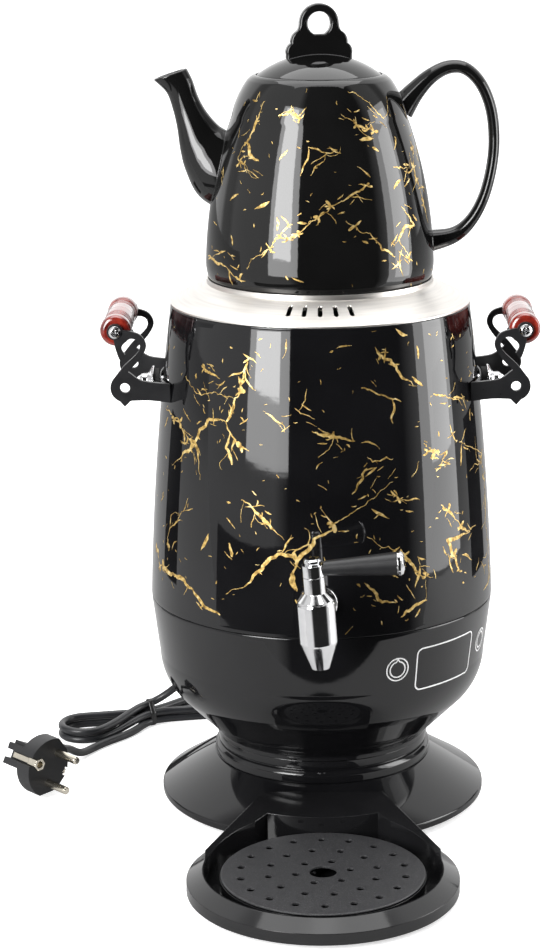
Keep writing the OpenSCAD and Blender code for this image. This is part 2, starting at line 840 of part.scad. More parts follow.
slot_w = 2.6;
slot_len = 9;
slot_pitch = 6.6;
skirt_r = tank_r - tank_t - 1.4;
skirt_z = lid_z - 8;
cone_slope = lid_rise / (shell_top_r - collar_r - 0.4);
skirt_top_z = lid_z + lid_rim_h + cone_slope * (shell_top_r - skirt_r) - 0.6 * lid_t;
seat_t = 1.2;

module boiler_lid() {
  cone_outline = [[shell_top_r, lid_z], [shell_top_r, lid_z + lid_rim_h], [collar_r + 0.4, collar_z],
                  [collar_r - 1, collar_z + 0.4]];
  slot_r = (shell_top_r + collar_r) / 2 - 2;
  color(steel) difference() {
    union() {
      wall_of(cone_outline, lid_t);
      ring(collar_r, collar_r - lid_t, seat_z - seat_t, collar_top_z);
      ring(collar_r - 0.5, 46, seat_z - seat_t, seat_z);
      ring(47.2, 46, seat_z - 5, seat_z - eps);
      ring(skirt_r, skirt_r - lid_t, skirt_z, skirt_top_z);
    }
    for (i = [0 : slot_count - 1]) rotate([0, 0, -90 + (i - (slot_count - 1) / 2) * slot_pitch])
      translate([slot_r, 0, lid_z + 4]) linear_extrude(20) slot_shape(slot_len, slot_w);
  }
}

module lid_seal() {
  color(dark_grey) ring(skirt_r + 0.8, skirt_r, skirt_z, skirt_z + 4);
}

// ---- Teapot ----

pot_foot_r = 60;
pot_shoulder = [50.5, pot_top_z - 23.4];
rebate_r = 36.4;
rebate_drop = 2.6;
pot_outline = concat(
  [[0, pot_z], [pot_foot_r, pot_z]],
  arc_points([pot_foot_r + 1.6, pot_z + 1], [pot_r, pot_z + 15.5], 1.2, 5),
  arc_points([pot_r, pot_z + 17], pot_shoulder, 3.4, 10),
  arc_points(pot_shoulder, [41.3, pot_top_z - 2.6], 1.2, 5),
  [[39, pot_top_z - 0.7], [rebate_r + 0.8, pot_top_z], [rebate_r, pot_top_z], [0, pot_top_z]]);
pot_cavity = concat(
  [[0, pot_z + pot_wall + 1], [pot_foot_r - 4, pot_z + pot_wall + 1]],
  arc_points([pot_foot_r - 1, pot_z + pot_wall + 2], [pot_r - pot_wall, pot_z + 16], 1.4, 5),
  arc_points([pot_r - pot_wall, pot_z + 17], pot_shoulder - [pot_wall, 1], 3.4, 10),
  [[mouth_r + 5.5, pot_top_z - 7.2], [mouth_r, pot_top_z - 6], [mouth_r, pot_top_z + 1],
   [0, pot_top_z + 1]]);

// Spout stations: centre x and height above the base, tilt of the section, half length, half width
spout_stations = [
  [-46, 60, 60, 18, 16], [-57, 69.4, 50, 20, 15.5], [-64.2, 79.6, 41, 17.2, 13],
  [-69.2, 87.7, 35, 13.4, 10.6], [-73.5, 98.7, 29, 9.7, 8.4], [-76.9, 108.2, 26, 8.2, 7.2],
  [-80.2, 117.7, 25, 8.3, 6.8], [-85.2, 124.3, 18, 10, 7.2]];
spout_wall = 2.8;

function spout_ring(s, wall, n) =
  [for (k = [0 : n - 1])
    let (u = (s[3] - wall) * cos(360 * k / n), v = (s[4] - wall) * sin(360 * k / n))
    [s.x + u * cos(s.z), v, pot_z + s.y + u * sin(s.z)]];

module spout_form(wall) {
  stations = smooth(spout_stations, 2);
  skin([for (s = stations) spout_ring(s, wall, 24)]);
}

// The spout's bore runs on past the mouth, so that it opens it
module spout_bore() {
  stations = smooth(spout_stations, 2);
  mouth = stations[len(stations) - 1];
  beyond = mouth + [-2, 5, 0, 0, 0];
  skin([for (s = concat(stations, [beyond])) spout_ring(s, spout_wall, 24)]);
}

// Handle stations: x and height above the base, half thickness, half width
pot_handle_stations = [
  [47, 104, 8, 8], [55, 114, 5.8, 6.6], [64, 122.6, 4.5, 5.8], [74, 127.7, 3.9, 5.5],
  [84, 127, 3.6, 5.5], [93, 118.4, 3.4, 5.5], [99, 104, 3.3, 5.5], [101, 86, 3.2, 5.5],
  [99.5, 69, 3.2, 5.5], [95, 52, 3.3, 5.5], [87.5, 38.5, 3.7, 5.6], [77.5, 30.5, 4.8, 6.2],
  [62, 27, 6.8, 7.5]];

module pot_handle() {
  stations = smooth(pot_handle_stations, 2);
  last = len(stations) - 1;
  n = 16;
  skin([for (i = [0 : last])
    let (s = stations[i], a = stations[max(i - 1, 0)], b = stations[min(i + 1, last)])
    let (t = unit([b.x - a.x, b.y - a.y]))
    [for (k = [0 : n - 1])
      let (u = s.z * cos(360 * k / n), v = s[3] * sin(360 * k / n))
      [s.x + u * t.y, v, pot_z + s.y - u * t.x]]]);
}

module strainer_holes() {
  translate([0, 0, pot_z + 62]) rotate([0, -90, 0]) {
    cylinder(r = 1.6, h = 70);
    around(6, 6) cylinder(r = 1.6, h = 70);
  }
}

module teapot_body() {
  color(black_gloss) difference() {
    union() {
      difference() {
        union() {
          spout_form(0);
          pot_handle();
        }
        turned(pot_cavity);
      }
      difference() {
        turned(pot_outline);
        turned(pot_cavity);
        translate([0, 0, pot_top_z - rebate_drop]) cylinder(r = rebate_r, h = 10);
      }
    }
    difference() {
      spout_bore();
      turned(pot_outline);
    }
    intersection() {
      strainer_holes();
      turned([[40, pot_z + 40], [pot_r + 2, pot_z + 40], [pot_r + 2, pot_z + 90], [40, pot_z + 90]]);
    }
  }
}

lid_disc_r = rebate_r - 0.5;
lid_disc_z = pot_top_z - rebate_drop + gap;
dome_z = pot_top_z + dome_h;
knob_t = 8;
knob_turn = 8;
knob_half = 18.9;

module teapot_lid() {
  dome = concat(
    [[lid_disc_r, lid_disc_z], [lid_disc_r, pot_top_z - 0.4]],
    arc_points([lid_disc_r - 0.7, pot_top_z + 0.2], [0.2, dome_z], 3, 8));
  color(black_gloss) {
    difference() {
      union() {
        turned(concat([[0, lid_disc_z]], dome, [[0, dome_z]]));
        ring(mouth_r - 0.6, mouth_r - 3.4, pot_top_z - 11, lid_disc_z + eps);
      }
      turned([[0, lid_disc_z - 1], [mouth_r - 3.4, lid_disc_z - 1], [mouth_r - 5, lid_disc_z + 2.6],
              [10, dome_z - 4.4], [0, dome_z - 4]]);
    }
    knob();
  }
}

knob_base_z = pot_top_z + dome_h - 4.6;
knob_eye_z = pot_top_z + 28.9;
knob_eye_r = 11.3;

// The knob's right side, up from its base over two scallops to the eye
knob_side = concat(
  [[knob_half, knob_base_z]],
  arc_points([knob_half, knob_base_z + 4.5], [knob_half - 2.5, knob_base_z + 10.7], 1.2, 4),
  arc_points([knob_half - 2.5, knob_base_z + 10.7], [knob_half - 6.4, knob_base_z + 17.8], 1.3, 4),
  [[knob_eye_r + 0.4, knob_eye_z - 2.4], [knob_eye_r, knob_eye_z]]);

module knob() {
  rotate([0, 0, knob_turn]) translate([0, knob_t / 2, 0]) rotate([90, 0, 0]) linear_extrude(knob_t)
    difference() {
      union() {
        translate([0, knob_eye_z]) circle(knob_eye_r);
        polygon(concat(knob_side, [for (p = backwards(knob_side)) [-p.x, p.y]]));
      }
      translate([0, knob_eye_z]) circle(knob_hole_r);
    }
}

// ---- Drip tray ----

tray_bottom = 3;
tray_side_top = 9.8;
tray_rim_z = 15.2;
tray_rim_r = tray_r - 8.8;
tray_floor_z = tray_bottom + tray_wall;
foot_clear = 0.4;
tray_foot_r = foot_r + foot_clear;
throat_half = 66.5;
throat_mid_y = 24 - tray_reach;
throat_end = [35, -72];
throat_in_half = 61.3;
throat_in_end = [31, -94];
slope_y = 20 - tray_reach;
slope_top_z = 26.3;
rest_r = grille_r - 2.5;
grille_z = 11.4;
grille_t = 1.2;

module at_tray() {
  translate([0, -tray_reach, 0]) children();
}

// Plan of the throat between the round tray and the neck: its half width at the end and in the middle
module throat_plan(end, half) {
  polygon([[-end.x, end.y], [-half, throat_mid_y], [-half, -tray_reach],
           [half, -tray_reach], [half, throat_mid_y], [end.x, end.y]]);
}

// Side view of the throat under its sloping top, drop below it, extruded across the tray
module throat_side(drop) {
  rotate([90, 0, 90]) translate([0, 0, -tray_r]) linear_extrude(2 * tray_r)
    polygon([[-tray_reach, 0], [-tray_reach, tray_rim_z - drop], [slope_y, tray_rim_z - drop],
             [throat_end.y, slope_top_z - drop], [throat_end.y, 0]]);
}

// Room for the foot's edge and slope
module foot_room() {
  turned([[0, -1], [tray_foot_r, -1], [tray_foot_r, rim_top_z + foot_clear],
          [foot_top_r + foot_clear, neck_z + foot_clear], [foot_top_r + foot_clear, 60], [0, 60]]);
}

// Hollow under the throat's sloping top, open below over the foot
module under_throat() {
  intersection() {
    throat_side(tray_wall);
    linear_extrude(60) throat_plan(throat_end - [tray_wall, 0], throat_half - tray_wall);
    cylinder(r = tray_foot_r, h = 60);
  }
}

module drip_tray() {
  color(black_gloss) difference() {
    union() {
      at_tray() turned([
        [0, tray_bottom], [tray_r - 0.6, tray_bottom], [tray_r, tray_bottom + 0.6],
        [tray_r, tray_side_top], [tray_rim_r, tray_rim_z], [0, tray_rim_z]]);
      intersection() {
        throat_side(0);
        translate([0, 0, tray_bottom]) linear_extrude(60) throat_plan(throat_end, throat_half);
      }
    }
    difference() {
      translate([0, 0, tray_floor_z]) {
        at_tray() cylinder(r = tray_rim_r - 1, h = 60);
        linear_extrude(60) throat_plan(throat_in_end, throat_in_half);
      }
      at_tray() ring(rest_r + 3, rest_r, 0, grille_z - gap);
      cylinder(r = tray_foot_r + tray_wall, h = 80);
    }
    foot_room();
    under_throat();
  }
}

module tray_feet() {
  color(dark_grey) at_tray() around(4, 62, 45) cylinder(r = 5, h = tray_bottom);
}

module drip_grille() {
  hole_ring_step = 15.4;
  centre_r = 7.8;
  color(dark_grey) at_tray() difference() {
    union() {
      turned([[0, grille_z], [grille_r - 0.2, grille_z], [grille_r, grille_z + 0.3],
              [grille_r, grille_z + grille_t - 0.5], [grille_r - 0.6, grille_z + grille_t],
              [0, grille_z + grille_t]]);
      ring(rest_r - 0.6, rest_r - 2, grille_z - 2, grille_z + eps);
    }
    translate([0, 0, grille_z - 1]) cylinder(r = centre_r, h = 4);
    for (k = [1 : 3]) around(6 * k, hole_ring_step * k, 11.2)
      translate([0, 0, grille_z - 1]) cylinder(r = drain_r, h = 4);
  }
}

// ---- Mains lead: route points are fixed places on the table, in order from the boiler ----

lead_points = [
  [-77.1, 77.1, 60.8], [-82, 83, 56.5], [-85.3, 91.6, 50.2], [-86.9, 100.4, 43.4],
  [-88.8, 108.2, 36.6], [-92.2, 113.9, 30.8], [-96.8, 117.7, 25.6], [-102.2, 119.7, 20.8],
  [-108, 119.9, 16.8], [-113.4, 118.4, 14.5], [-118.3, 115.6, 13.7]];
tail_points = [
  [-115.1, 111.7, 3.5], [-118.6, 106.2, 3], [-122.6, 97.8, 2.7], [-128.8, 88.8, 2.7],
  [-136.4, 80.4, 2.7], [-143, 72.2, 2.7], [-148.4, 64, 2.7], [-152, 57, 3.3],
  [-154.8, 51.2, 5], [-157.2, 46.3, 7.9], [-159.4, 41.8, 11.1], [-161.3, 37.5, 13.4],
  [-163, 33, 14.5]];
hank_start = [-154.5, 94];
hank_turn = 29.3;
hank_length = 95;
hank_low = 1.1;
hank_high = 11.4;
fold_r = 18;
waist = 5.4;
tie_s = 47;
plug_at = [-164.5, -12.3, 19];
plug_turn = -46.6;
plug_lean = -26;
face_t = 12;
pin_gap = 19;
pin_r = 2.4;
strip_y = -12.7;

module cord_gland() {
  relief_len = 22;
  color(black_satin) at_gland() difference() {
    turned([
      [0, -7], [gland_hole_r + 2, -7], [gland_hole_r + 2, -5], [gland_hole_r, -5], [gland_hole_r, 0.6],
      [gland_hole_r + 1.6, 0.6], [gland_hole_r + 1.6, 2.2], [cord_d / 2 + 3, 3],
      [cord_d / 2 + 1.4, relief_len], [0, relief_len]]);
    translate([0, 0, -8]) cylinder(r = cord_d / 2, h = relief_len + 9);
  }
}

module cord_lead() {
  color(black_satin) cord_tube(smooth(lead_points, 2));
}

module cord_tail() {
  color(black_satin) cord_tube(smooth(tail_points, 2));
}

module at_hank() {
  translate([hank_start.x, hank_start.y, 0]) rotate([0, 0, hank_turn]) children();
}

module cord_hank() {
  color(black_satin) at_hank() translate([0, 0, hank_low]) linear_extrude(hank_high - hank_low) {
    for (x = [0, hank_length]) translate([x, 0]) circle(fold_r);
    polygon([[4, -fold_r + 0.5], [tie_s - 5, -waist], [tie_s + 5, -waist],
             [hank_length - 4, -fold_r + 0.5], [hank_length - 4, fold_r - 0.5],
             [tie_s + 5, waist], [tie_s - 5, waist], [4, fold_r - 0.5]]);
  }
}

module cord_tie() {
  band = 0.8;
  half = waist + 0.1;
  low = hank_low - 0.1;
  high = 17.9;
  color(black_satin) at_hank() translate([tie_s - 2, 0, 0]) rotate([90, 0, 90]) linear_extrude(4)
    difference() {
      translate([-half - band, low - band]) square([2 * (half + band), high - low + 2 * band]);
      translate([-half, low]) square([2 * half, high - low]);
    }
}

// Plug frame: the pins point along +X, the lead leaves along +Y
module at_plug() {
  translate(plug_at) rotate([0, 0, plug_turn]) rotate([plug_lean, 0, 0]) children();
}

// Outline of the plug's round face, narrower on the lead's side
module plug_face() {
  intersection() {
    circle(plug_r);
    polygon([[-20, -20], [-3, -18.4], [6, -13.2], [9, -8.7], [11, -2.6], [11, 2.6], [9, 8.7],
             [6, 13.2], [-3, 18.4], [-20, 20]]);
  }
}

module plug_body() {
  relief_r = [4.2, cord_d / 2 + 0.6];
  color(black_satin) at_plug() difference() {
    union() {
      translate([-face_t, 0, 0]) rotate([90, 0, 90]) linear_extrude(face_t) plug_face();
      translate([-26, -17.5, -6.75]) cube([16, 27.5, 13.5]);
      translate([-24, -15, 6]) cube([14, 10, 3]);
      translate([-15, 8, 3]) rotate([0, 76, 126.5]) cylinder(r1 = relief_r[0], r2 = relief_r[1], h = 29.4);
    }
    for (z = [-1, 1]) translate([-8, 0, z * pin_gap / 2]) rotate([0, 90, 0])
      cylinder(r = pin_r + 0.02, h = 12);
    translate([-27, -20, -2.6]) cube([28, 20 + strip_y, 5.2]);
    translate([-face_t - 1, 9, -2.6]) cube([face_t + 2, 4, 5.2]);
    earth_sleeve(4.05);
  }
}

module plug_pins() {
  pin_len = 19;
  color(brass) at_plug() for (z = [-1, 1]) translate([-8, 0, z * pin_gap / 2]) rotate([0, 90, 0]) {
    cylinder(r = pin_r, h = pin_len + 7);
    translate([0, 0, pin_len + 7 - eps]) cylinder(r1 = pin_r, r2 = pin_r - 0.8, h = 1);
  }
}

module earth_sleeve(r) {
  translate([-7, -11.2, 0]) rotate([0, 90, 0]) cylinder(r = r, h = 7.4, $fn = 6);
}

module plug_earth() {
  strip_t = 1.2;
  color(brass) at_plug() {
    difference() {
      union() {
        earth_sleeve(4);
        translate([-23, strip_y - strip_t, -1.65]) cube([23, strip_t, 3.3]);
      }
      translate([-6, -11.2, 0]) rotate([0, 90, 0]) cylinder(r = 2.2, h = 8);
    }
    translate([-10, 9, -1.65]) cube([10, strip_t, 3.3]);
  }
}

rubber_feet();
base_cover();
cover_screws();
foot_disc();
neck_ring();
neck_screws();
bowl_housing();
display_window();
display_module();
display_board();
control_board();
board_parts();
support_plate();
heater_plate();
heating_element();
thermostat();
thermal_cutout();
water_tank();
seam_gasket();
outer_shell();
tap_flange();
tap_body();
tap_bonnet();
tap_washers();
tap_nut();
tap_spindle();
tap_cap();
lever_rod();
lever_grip();
lever_end_cap();
handle_bracket_left();
handle_bracket_right();
handle_grip_left();
handle_grip_right();
handle_bolt_left();
handle_bolt_right();
handle_bolt_nuts();
bracket_spacers();
bracket_nuts();
boiler_lid();
lid_seal();
teapot_body();
teapot_lid();
drip_tray();
tray_feet();
drip_grille();
cord_gland();
cord_lead();
cord_hank();
cord_tie();
cord_tail();
plug_body();
plug_pins();
plug_earth();
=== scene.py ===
"""Looks of the electric samovar: teapot, boiler with its printed gold veins, tap, tray and lead.

Everything is in metres in the CAD frame. Outlines are written in millimetres, as in the part's source.
"""
import math
import random

import bmesh
import bpy
from mathutils import Matrix, Vector


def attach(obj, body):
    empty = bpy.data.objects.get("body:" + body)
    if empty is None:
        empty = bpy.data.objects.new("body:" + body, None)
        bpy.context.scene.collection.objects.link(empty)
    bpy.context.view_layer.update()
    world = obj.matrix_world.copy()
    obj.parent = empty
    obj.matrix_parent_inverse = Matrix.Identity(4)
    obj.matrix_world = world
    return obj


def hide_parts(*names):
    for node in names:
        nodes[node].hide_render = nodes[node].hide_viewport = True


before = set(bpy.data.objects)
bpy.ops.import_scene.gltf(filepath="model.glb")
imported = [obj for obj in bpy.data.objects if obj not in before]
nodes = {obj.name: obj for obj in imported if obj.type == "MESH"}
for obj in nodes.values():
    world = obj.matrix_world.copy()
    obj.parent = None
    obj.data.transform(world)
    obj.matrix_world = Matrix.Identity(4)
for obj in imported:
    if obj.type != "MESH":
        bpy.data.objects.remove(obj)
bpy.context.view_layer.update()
MM = 0.001

# ---- Camera, fitted to the photograph ----

CAMERA_Y = -1.4645
CAMERA_Z = 0.574
PITCH = math.radians(14.35)
ROLL = math.radians(-0.3)
FOCAL_PX = 2530
WIDTH_PX, HEIGHT_PX = 542, 951
AXIS_PX = 321
SENSOR = 36


def in_scene(name, data):
    """A new object in the scene."""
    made = bpy.data.objects.new(name, data)
    bpy.context.scene.collection.objects.link(made)
    return made


def make_camera():
    data = bpy.data.cameras.new("camera")
    data.sensor_width = SENSOR
    data.lens = FOCAL_PX / HEIGHT_PX * SENSOR
    data.shift_x = (WIDTH_PX / 2 - AXIS_PX) / HEIGHT_PX
    camera = in_scene("camera", data)
    turn = Matrix.Rotation(math.pi / 2 - PITCH, 4, "X") @ Matrix.Rotation(ROLL, 4, "Z")
    camera.matrix_world = Matrix.Translation((0, CAMERA_Y, CAMERA_Z)) @ turn
    bpy.context.scene.camera = camera


make_camera()

# ---- Outline and mesh helpers; lists of points are in millimetres ----


def arc(a, b, bulge, steps=24):
    """Points of a circular arc from a to b that bulges to the right of the way from a to b."""
    a, b = Vector(a), Vector(b)
    along = (b - a).normalized()
    side = Vector((along.y, -along.x))
    chord = (b - a).length
    radius = (chord ** 2 / 4 + bulge ** 2) / (2 * bulge)
    centre = (a + b) / 2 + side * (bulge - radius)
    half = math.asin(chord / 2 / radius)
    middle = math.atan2(side.y, side.x)
    turns = [middle - half + 2 * half * i / steps for i in range(steps + 1)]
    return [(centre.x + radius * math.cos(t), centre.y + radius * math.sin(t)) for t in turns]


def rounded(points, radius, steps=4):
    """The outline with its corners rounded, as far as the edges beside each corner allow."""
    made = [points[0]]
    for before, corner, after in zip(points, points[1:], points[2:]):
        p, c, q = Vector(before), Vector(corner), Vector(after)
        reach = min(radius, (p - c).length * 0.45, (q - c).length * 0.45)
        start = c + (p - c).normalized() * reach
        end = c + (q - c).normalized() * reach
        for i in range(steps + 1):
            t = i / steps
            point = start * (1 - t) ** 2 + c * 2 * t * (1 - t) + end * t ** 2
            made.append(tuple(point))
    return made + [points[-1]]


def smooth(points, steps):
    """Catmull-Rom points through a list of tuples of any length, with steps between each pair."""
    made = []
    last = len(points) - 1
    for i in range(last):
        a, b = Vector(points[max(i - 1, 0)]), Vector(points[i])
        c, d = Vector(points[i + 1]), Vector(points[min(i + 2, last)])
        for s in range(steps):
            u = s / steps
            made.append(0.5 * (2 * b + (c - a) * u + (2 * a - 5 * b + 4 * c - d) * u ** 2
                               + (3 * b - a - 3 * c + d) * u ** 3))
    return made + [Vector(points[-1])]


def placed(name, mesh, body, material, stands_for=()):
    """A piece made of a mesh in the row frame, riding on a CAD body."""
    piece = in_scene(name, mesh)
    piece.data.materials.append(material)
    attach(piece, body)
    if stands_for:
        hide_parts(*stands_for)
    return piece


def mesh_of(name, points, faces, sharp_angle=40):
    """A mesh from millimetre points, smooth except at edges sharper than sharp_angle degrees."""
    mesh = bpy.data.meshes.new(name)
    mesh.from_pydata([Vector(p) * MM for p in points], [], faces)
    work = bmesh.new()
    work.from_mesh(mesh)
    bmesh.ops.remove_doubles(work, verts=work.verts, dist=1e-7)
    bmesh.ops.recalc_face_normals(work, faces=work.faces)
    for face in work.faces:
        face.smooth = True
    for edge in work.edges:
        if len(edge.link_faces) == 2 and edge.calc_face_angle(0) > math.radians(sharp_angle):
            edge.smooth = False
    work.to_mesh(mesh)
    work.free()
    return mesh


def lathe_mesh(name, outline, sides=256, closed=True, sharp_angle=40):
    """The outline of (radius, height) turned about the Z axis; closed joins its end to its start."""
    points, faces = [], []
    for k in range(sides):
        a = 2 * math.pi * k / sides
        points += [(r * math.cos(a), r * math.sin(a), z) for r, z in outline]
    n = len(outline)
    for k in range(sides):
        here, there = k * n, (k + 1) % sides * n
        for i in range(n if closed else n - 1):
            j = (i + 1) % n
            corners = [here + i, there + i, there + j, here + j]
            on_axis_i, on_axis_j = outline[i][0] < 1e-6, outline[j][0] < 1e-6
            if on_axis_i and on_axis_j:
                continue
            if on_axis_i:
                corners = [here + i, there + j, here + j]
            elif on_axis_j:
                corners = [here + i, there + i, here + j]
            faces.append(corners)
    return mesh_of(name, points, faces, sharp_angle)


def skin_mesh(name, rings, cap_start=True, cap_end=True, sharp_angle=40):
    """A skin over rings of points that all have the same count."""
    points = [p for one in rings for p in one]
    n = len(rings[0])
    faces = [(i * n + k, i * n + (k + 1) % n, (i + 1) * n + (k + 1) % n, (i + 1) * n + k)
             for i in range(len(rings) - 1) for k in range(n)]
    if cap_start:
        faces.append(list(range(n)))
    if cap_end:
        faces.append([(len(rings) - 1) * n + k for k in reversed(range(n))])
    return mesh_of(name, points, faces, sharp_angle)


def add_mesh(target, other):
    """Adds the faces of another mesh to a mesh."""
    work = bmesh.new()
    work.from_mesh(target)
    work.from_mesh(other)
    work.to_mesh(target)
    work.free()
    return target


def radius_at(outline, z):
    """Radius of an outline that rises steadily, at height z."""
    for (r0, z0), (r1, z1) in zip(outline, outline[1:]):
        if z0 <= z <= z1 and z1 > z0:
            return r0 + (r1 - r0) * (z - z0) / (z1 - z0)
    return outline[0][0] if z < outline[0][1] else outline[-1][0]


# ---- Materials ----

EDGE_R = 0.0004


def add_node(tree, kind, inputs=(), **settings):
    """A shader node; each input is a value, or the socket that feeds it."""
    node = tree.nodes.new("ShaderNode" + kind)
    for key, value in settings.items():
        setattr(node, key, value)
    for key, value in dict(inputs).items():
        if isinstance(value, bpy.types.NodeSocket):
            tree.links.new(value, node.inputs[key])
        else:
            node.inputs[key].default_value = value
    return node


def set_stops(node, stops):
    """Colours at places from 0 to 1 on a colour ramp."""
    elements = node.color_ramp.elements
    for element, (where, colour) in zip(elements, (stops[0], stops[-1])):
        element.position = where
        element.color = (*colour, 1)
    for where, colour in stops[1:-1]:
        elements.new(where).color = (*colour, 1)


class Finish:
    """A procedural material around one Principled shader."""

    def __init__(self, name, colour, roughness, **sockets):
        self.material = bpy.data.materials.new(name)
        self.material.use_nodes = True
        self.tree = self.material.node_tree
        self.shader = self.tree.nodes["Principled BSDF"]
        self.shader.inputs["Base Color"].default_value = (*colour, 1)
        self.shader.inputs["Roughness"].default_value = roughness
        self.material.diffuse_color = (*colour, 1)
        for socket, value in sockets.items():
            self.shader.inputs[socket.replace("_", " ")].default_value = value
        self.place = self.add("TexCoord").outputs["Object"]
        self.normal = None

    def add(self, kind, inputs=(), **settings):
        return add_node(self.tree, kind, inputs, **settings)

    def noise(self, scale, detail=3, stretch=(1, 1, 1), place=None):
        """Noise over the surface, scale in lumps per metre."""
        spread = self.add("Mapping", {"Vector": place or self.place, "Scale": stretch})
        inputs = {"Vector": spread.outputs["Vector"], "Scale": scale, "Detail": detail}
        return self.add("TexNoise", inputs).outputs["Fac"]

    def polar(self):
        """Direction from the Z axis as X and Y, and distance from it plus height as Z."""
        split = self.add("SeparateXYZ", {"Vector": self.place})
        flat = self.add("CombineXYZ", {"X": split.outputs["X"], "Y": split.outputs["Y"]})
        flat = flat.outputs["Vector"]
        unit = self.add("VectorMath", {0: flat}, operation="NORMALIZE").outputs["Vector"]
        radius = self.add("VectorMath", {0: flat}, operation="LENGTH").outputs["Value"]
        both = self.add("Math", {0: radius, 1: split.outputs["Z"]}, operation="ADD").outputs[0]
        along = self.add("SeparateXYZ", {"Vector": unit})
        parts = {"X": along.outputs["X"], "Y": along.outputs["Y"], "Z": both}
        return self.add("CombineXYZ", parts).outputs["Vector"]

    def set(self, socket, value):
        self.tree.links.new(value, self.shader.inputs[socket])

    def roughness(self, value, low, high):
        """Roughness from low to high as the value goes from 0 to 1."""
        spread = {"Value": value, "To Min": low, "To Max": high}
        self.set("Roughness", self.add("MapRange", spread).outputs["Result"])

    def colours(self, value, *stops):
        """Base colours at places along a value from 0 to 1."""
        node = self.add("ValToRGB", {"Fac": value})
        set_stops(node, stops)
        self.set("Base Color", node.outputs["Color"])

    def round_edges(self, radius):
        """Edges catch light as if they were rounded by this radius."""
        self.normal = self.add("Bevel", {"Radius": radius}, samples=6).outputs["Normal"]
        self.set("Normal", self.normal)

    def bump(self, height, distance, strength=1):
        inputs = {"Height": height, "Distance": distance, "Strength": strength}
        if self.normal:
            inputs["Normal"] = self.normal
        self.normal = self.add("Bump", inputs).outputs["Normal"]
        self.set("Normal", self.normal)
        return self


def glossy_black(name, colour, roughness, edge=EDGE_R, ripple=0.00001):
    """Black lacquer, glaze or gloss plastic with a faint ripple and uneven polish."""
    finish = Finish(name, colour, roughness, Specular_IOR_Level=0.5)
    finish.roughness(finish.noise(90, 4), roughness * 0.6, roughness * 1.5)
    lighter = [c * 1.6 for c in colour]
    finish.colours(finish.noise(25, 2), (0.3, colour), (0.7, lighter))
    finish.round_edges(edge)
    return finish.bump(finish.noise(140, 2), ripple).material


def plain_plastic(name, colour, roughness, grain=2500, depth=0.00002):
    """Moulded plastic or rubber with a fine grain."""
    finish = Finish(name, colour, roughness)
    lighter = [min(1, c * 1.35 + 0.002) for c in colour]
    finish.colours(finish.noise(60, 4), (0.3, colour), (0.75, lighter))
    finish.roughness(finish.noise(240, 3), roughness * 0.8, min(1, roughness * 1.25))
    finish.round_edges(EDGE_R)
    return finish.bump(finish.noise(grain, 2), depth).material


def metal(name, colour, roughness, streak=(1, 1, 1), scale=400, depth=0.000004, polar=False):
    """Bare or plated metal; streak stretches its brushing, along the turn if polar."""
    finish = Finish(name, colour, roughness, Metallic=1.0)
    place = finish.polar() if polar else finish.place
    brushed = finish.noise(scale, 4, streak, place)
    darker = [c * 0.82 for c in colour]
    finish.colours(brushed, (0.25, darker), (0.7, colour))
    finish.roughness(brushed, roughness * 0.75, roughness * 1.3)
    finish.round_edges(EDGE_R)
    return finish.bump(brushed, depth).material


def gold_print():
    """Fired gold print: warm metal that is uneven and thin in places."""
    finish = Finish("gold_print", (0.7, 0.48, 0.14), 0.4, Metallic=0.6)
    patchy = finish.noise(420, 4)
    finish.colours(patchy, (0.32, (0.2, 0.115, 0.025)), (0.5, (0.6, 0.4, 0.12)), (0.72, (0.93, 0.74, 0.36)))
    finish.roughness(finish.noise(900, 2), 0.3, 0.55)
    return finish.bump(patchy, 0.00004).material


def lacquered_wood():
    """Red-brown lacquer over turned wood, with grain along the grip."""
    finish = Finish("lacquered_wood", (0.2, 0.015, 0.01), 0.16, Coat_Weight=1.0, Coat_Roughness=0.06)
    grain = finish.noise(160, 5, (1, 0.08, 1))
    finish.colours(
        grain, (0.3, (0.09, 0.006, 0.004)), (0.55, (0.24, 0.018, 0.01)), (0.8, (0.42, 0.05, 0.025)))
    finish.roughness(grain, 0.12, 0.3)
    return finish.bump(grain, 0.00003).material


def textured_paint():
    """Fine wrinkle paint of the grille."""
    finish = Finish("textured_paint", (0.05, 0.05, 0.052), 0.42, Metallic=0.3)
    speck = finish.noise(1800, 4)
    finish.colours(speck, (0.35, (0.022, 0.022, 0.024)), (0.6, (0.06, 0.06, 0.063)), (0.8, (0.2, 0.2, 0.2)))
    finish.roughness(speck, 0.3, 0.6)
    finish.round_edges(EDGE_R)
    return finish.bump(speck, 0.00008).material


def board():
    """Circuit board: green lacquer with paler tracks."""
    finish = Finish("board", (0.02, 0.16, 0.06), 0.35)
    tracks = finish.add("TexBrick", {"Vector": finish.place, "Scale": 120.0}).outputs["Fac"]
    finish.colours(tracks, (0.2, (0.015, 0.13, 0.05)), (0.8, (0.05, 0.26, 0.1)))
    return finish.bump(tracks, 0.00003).material


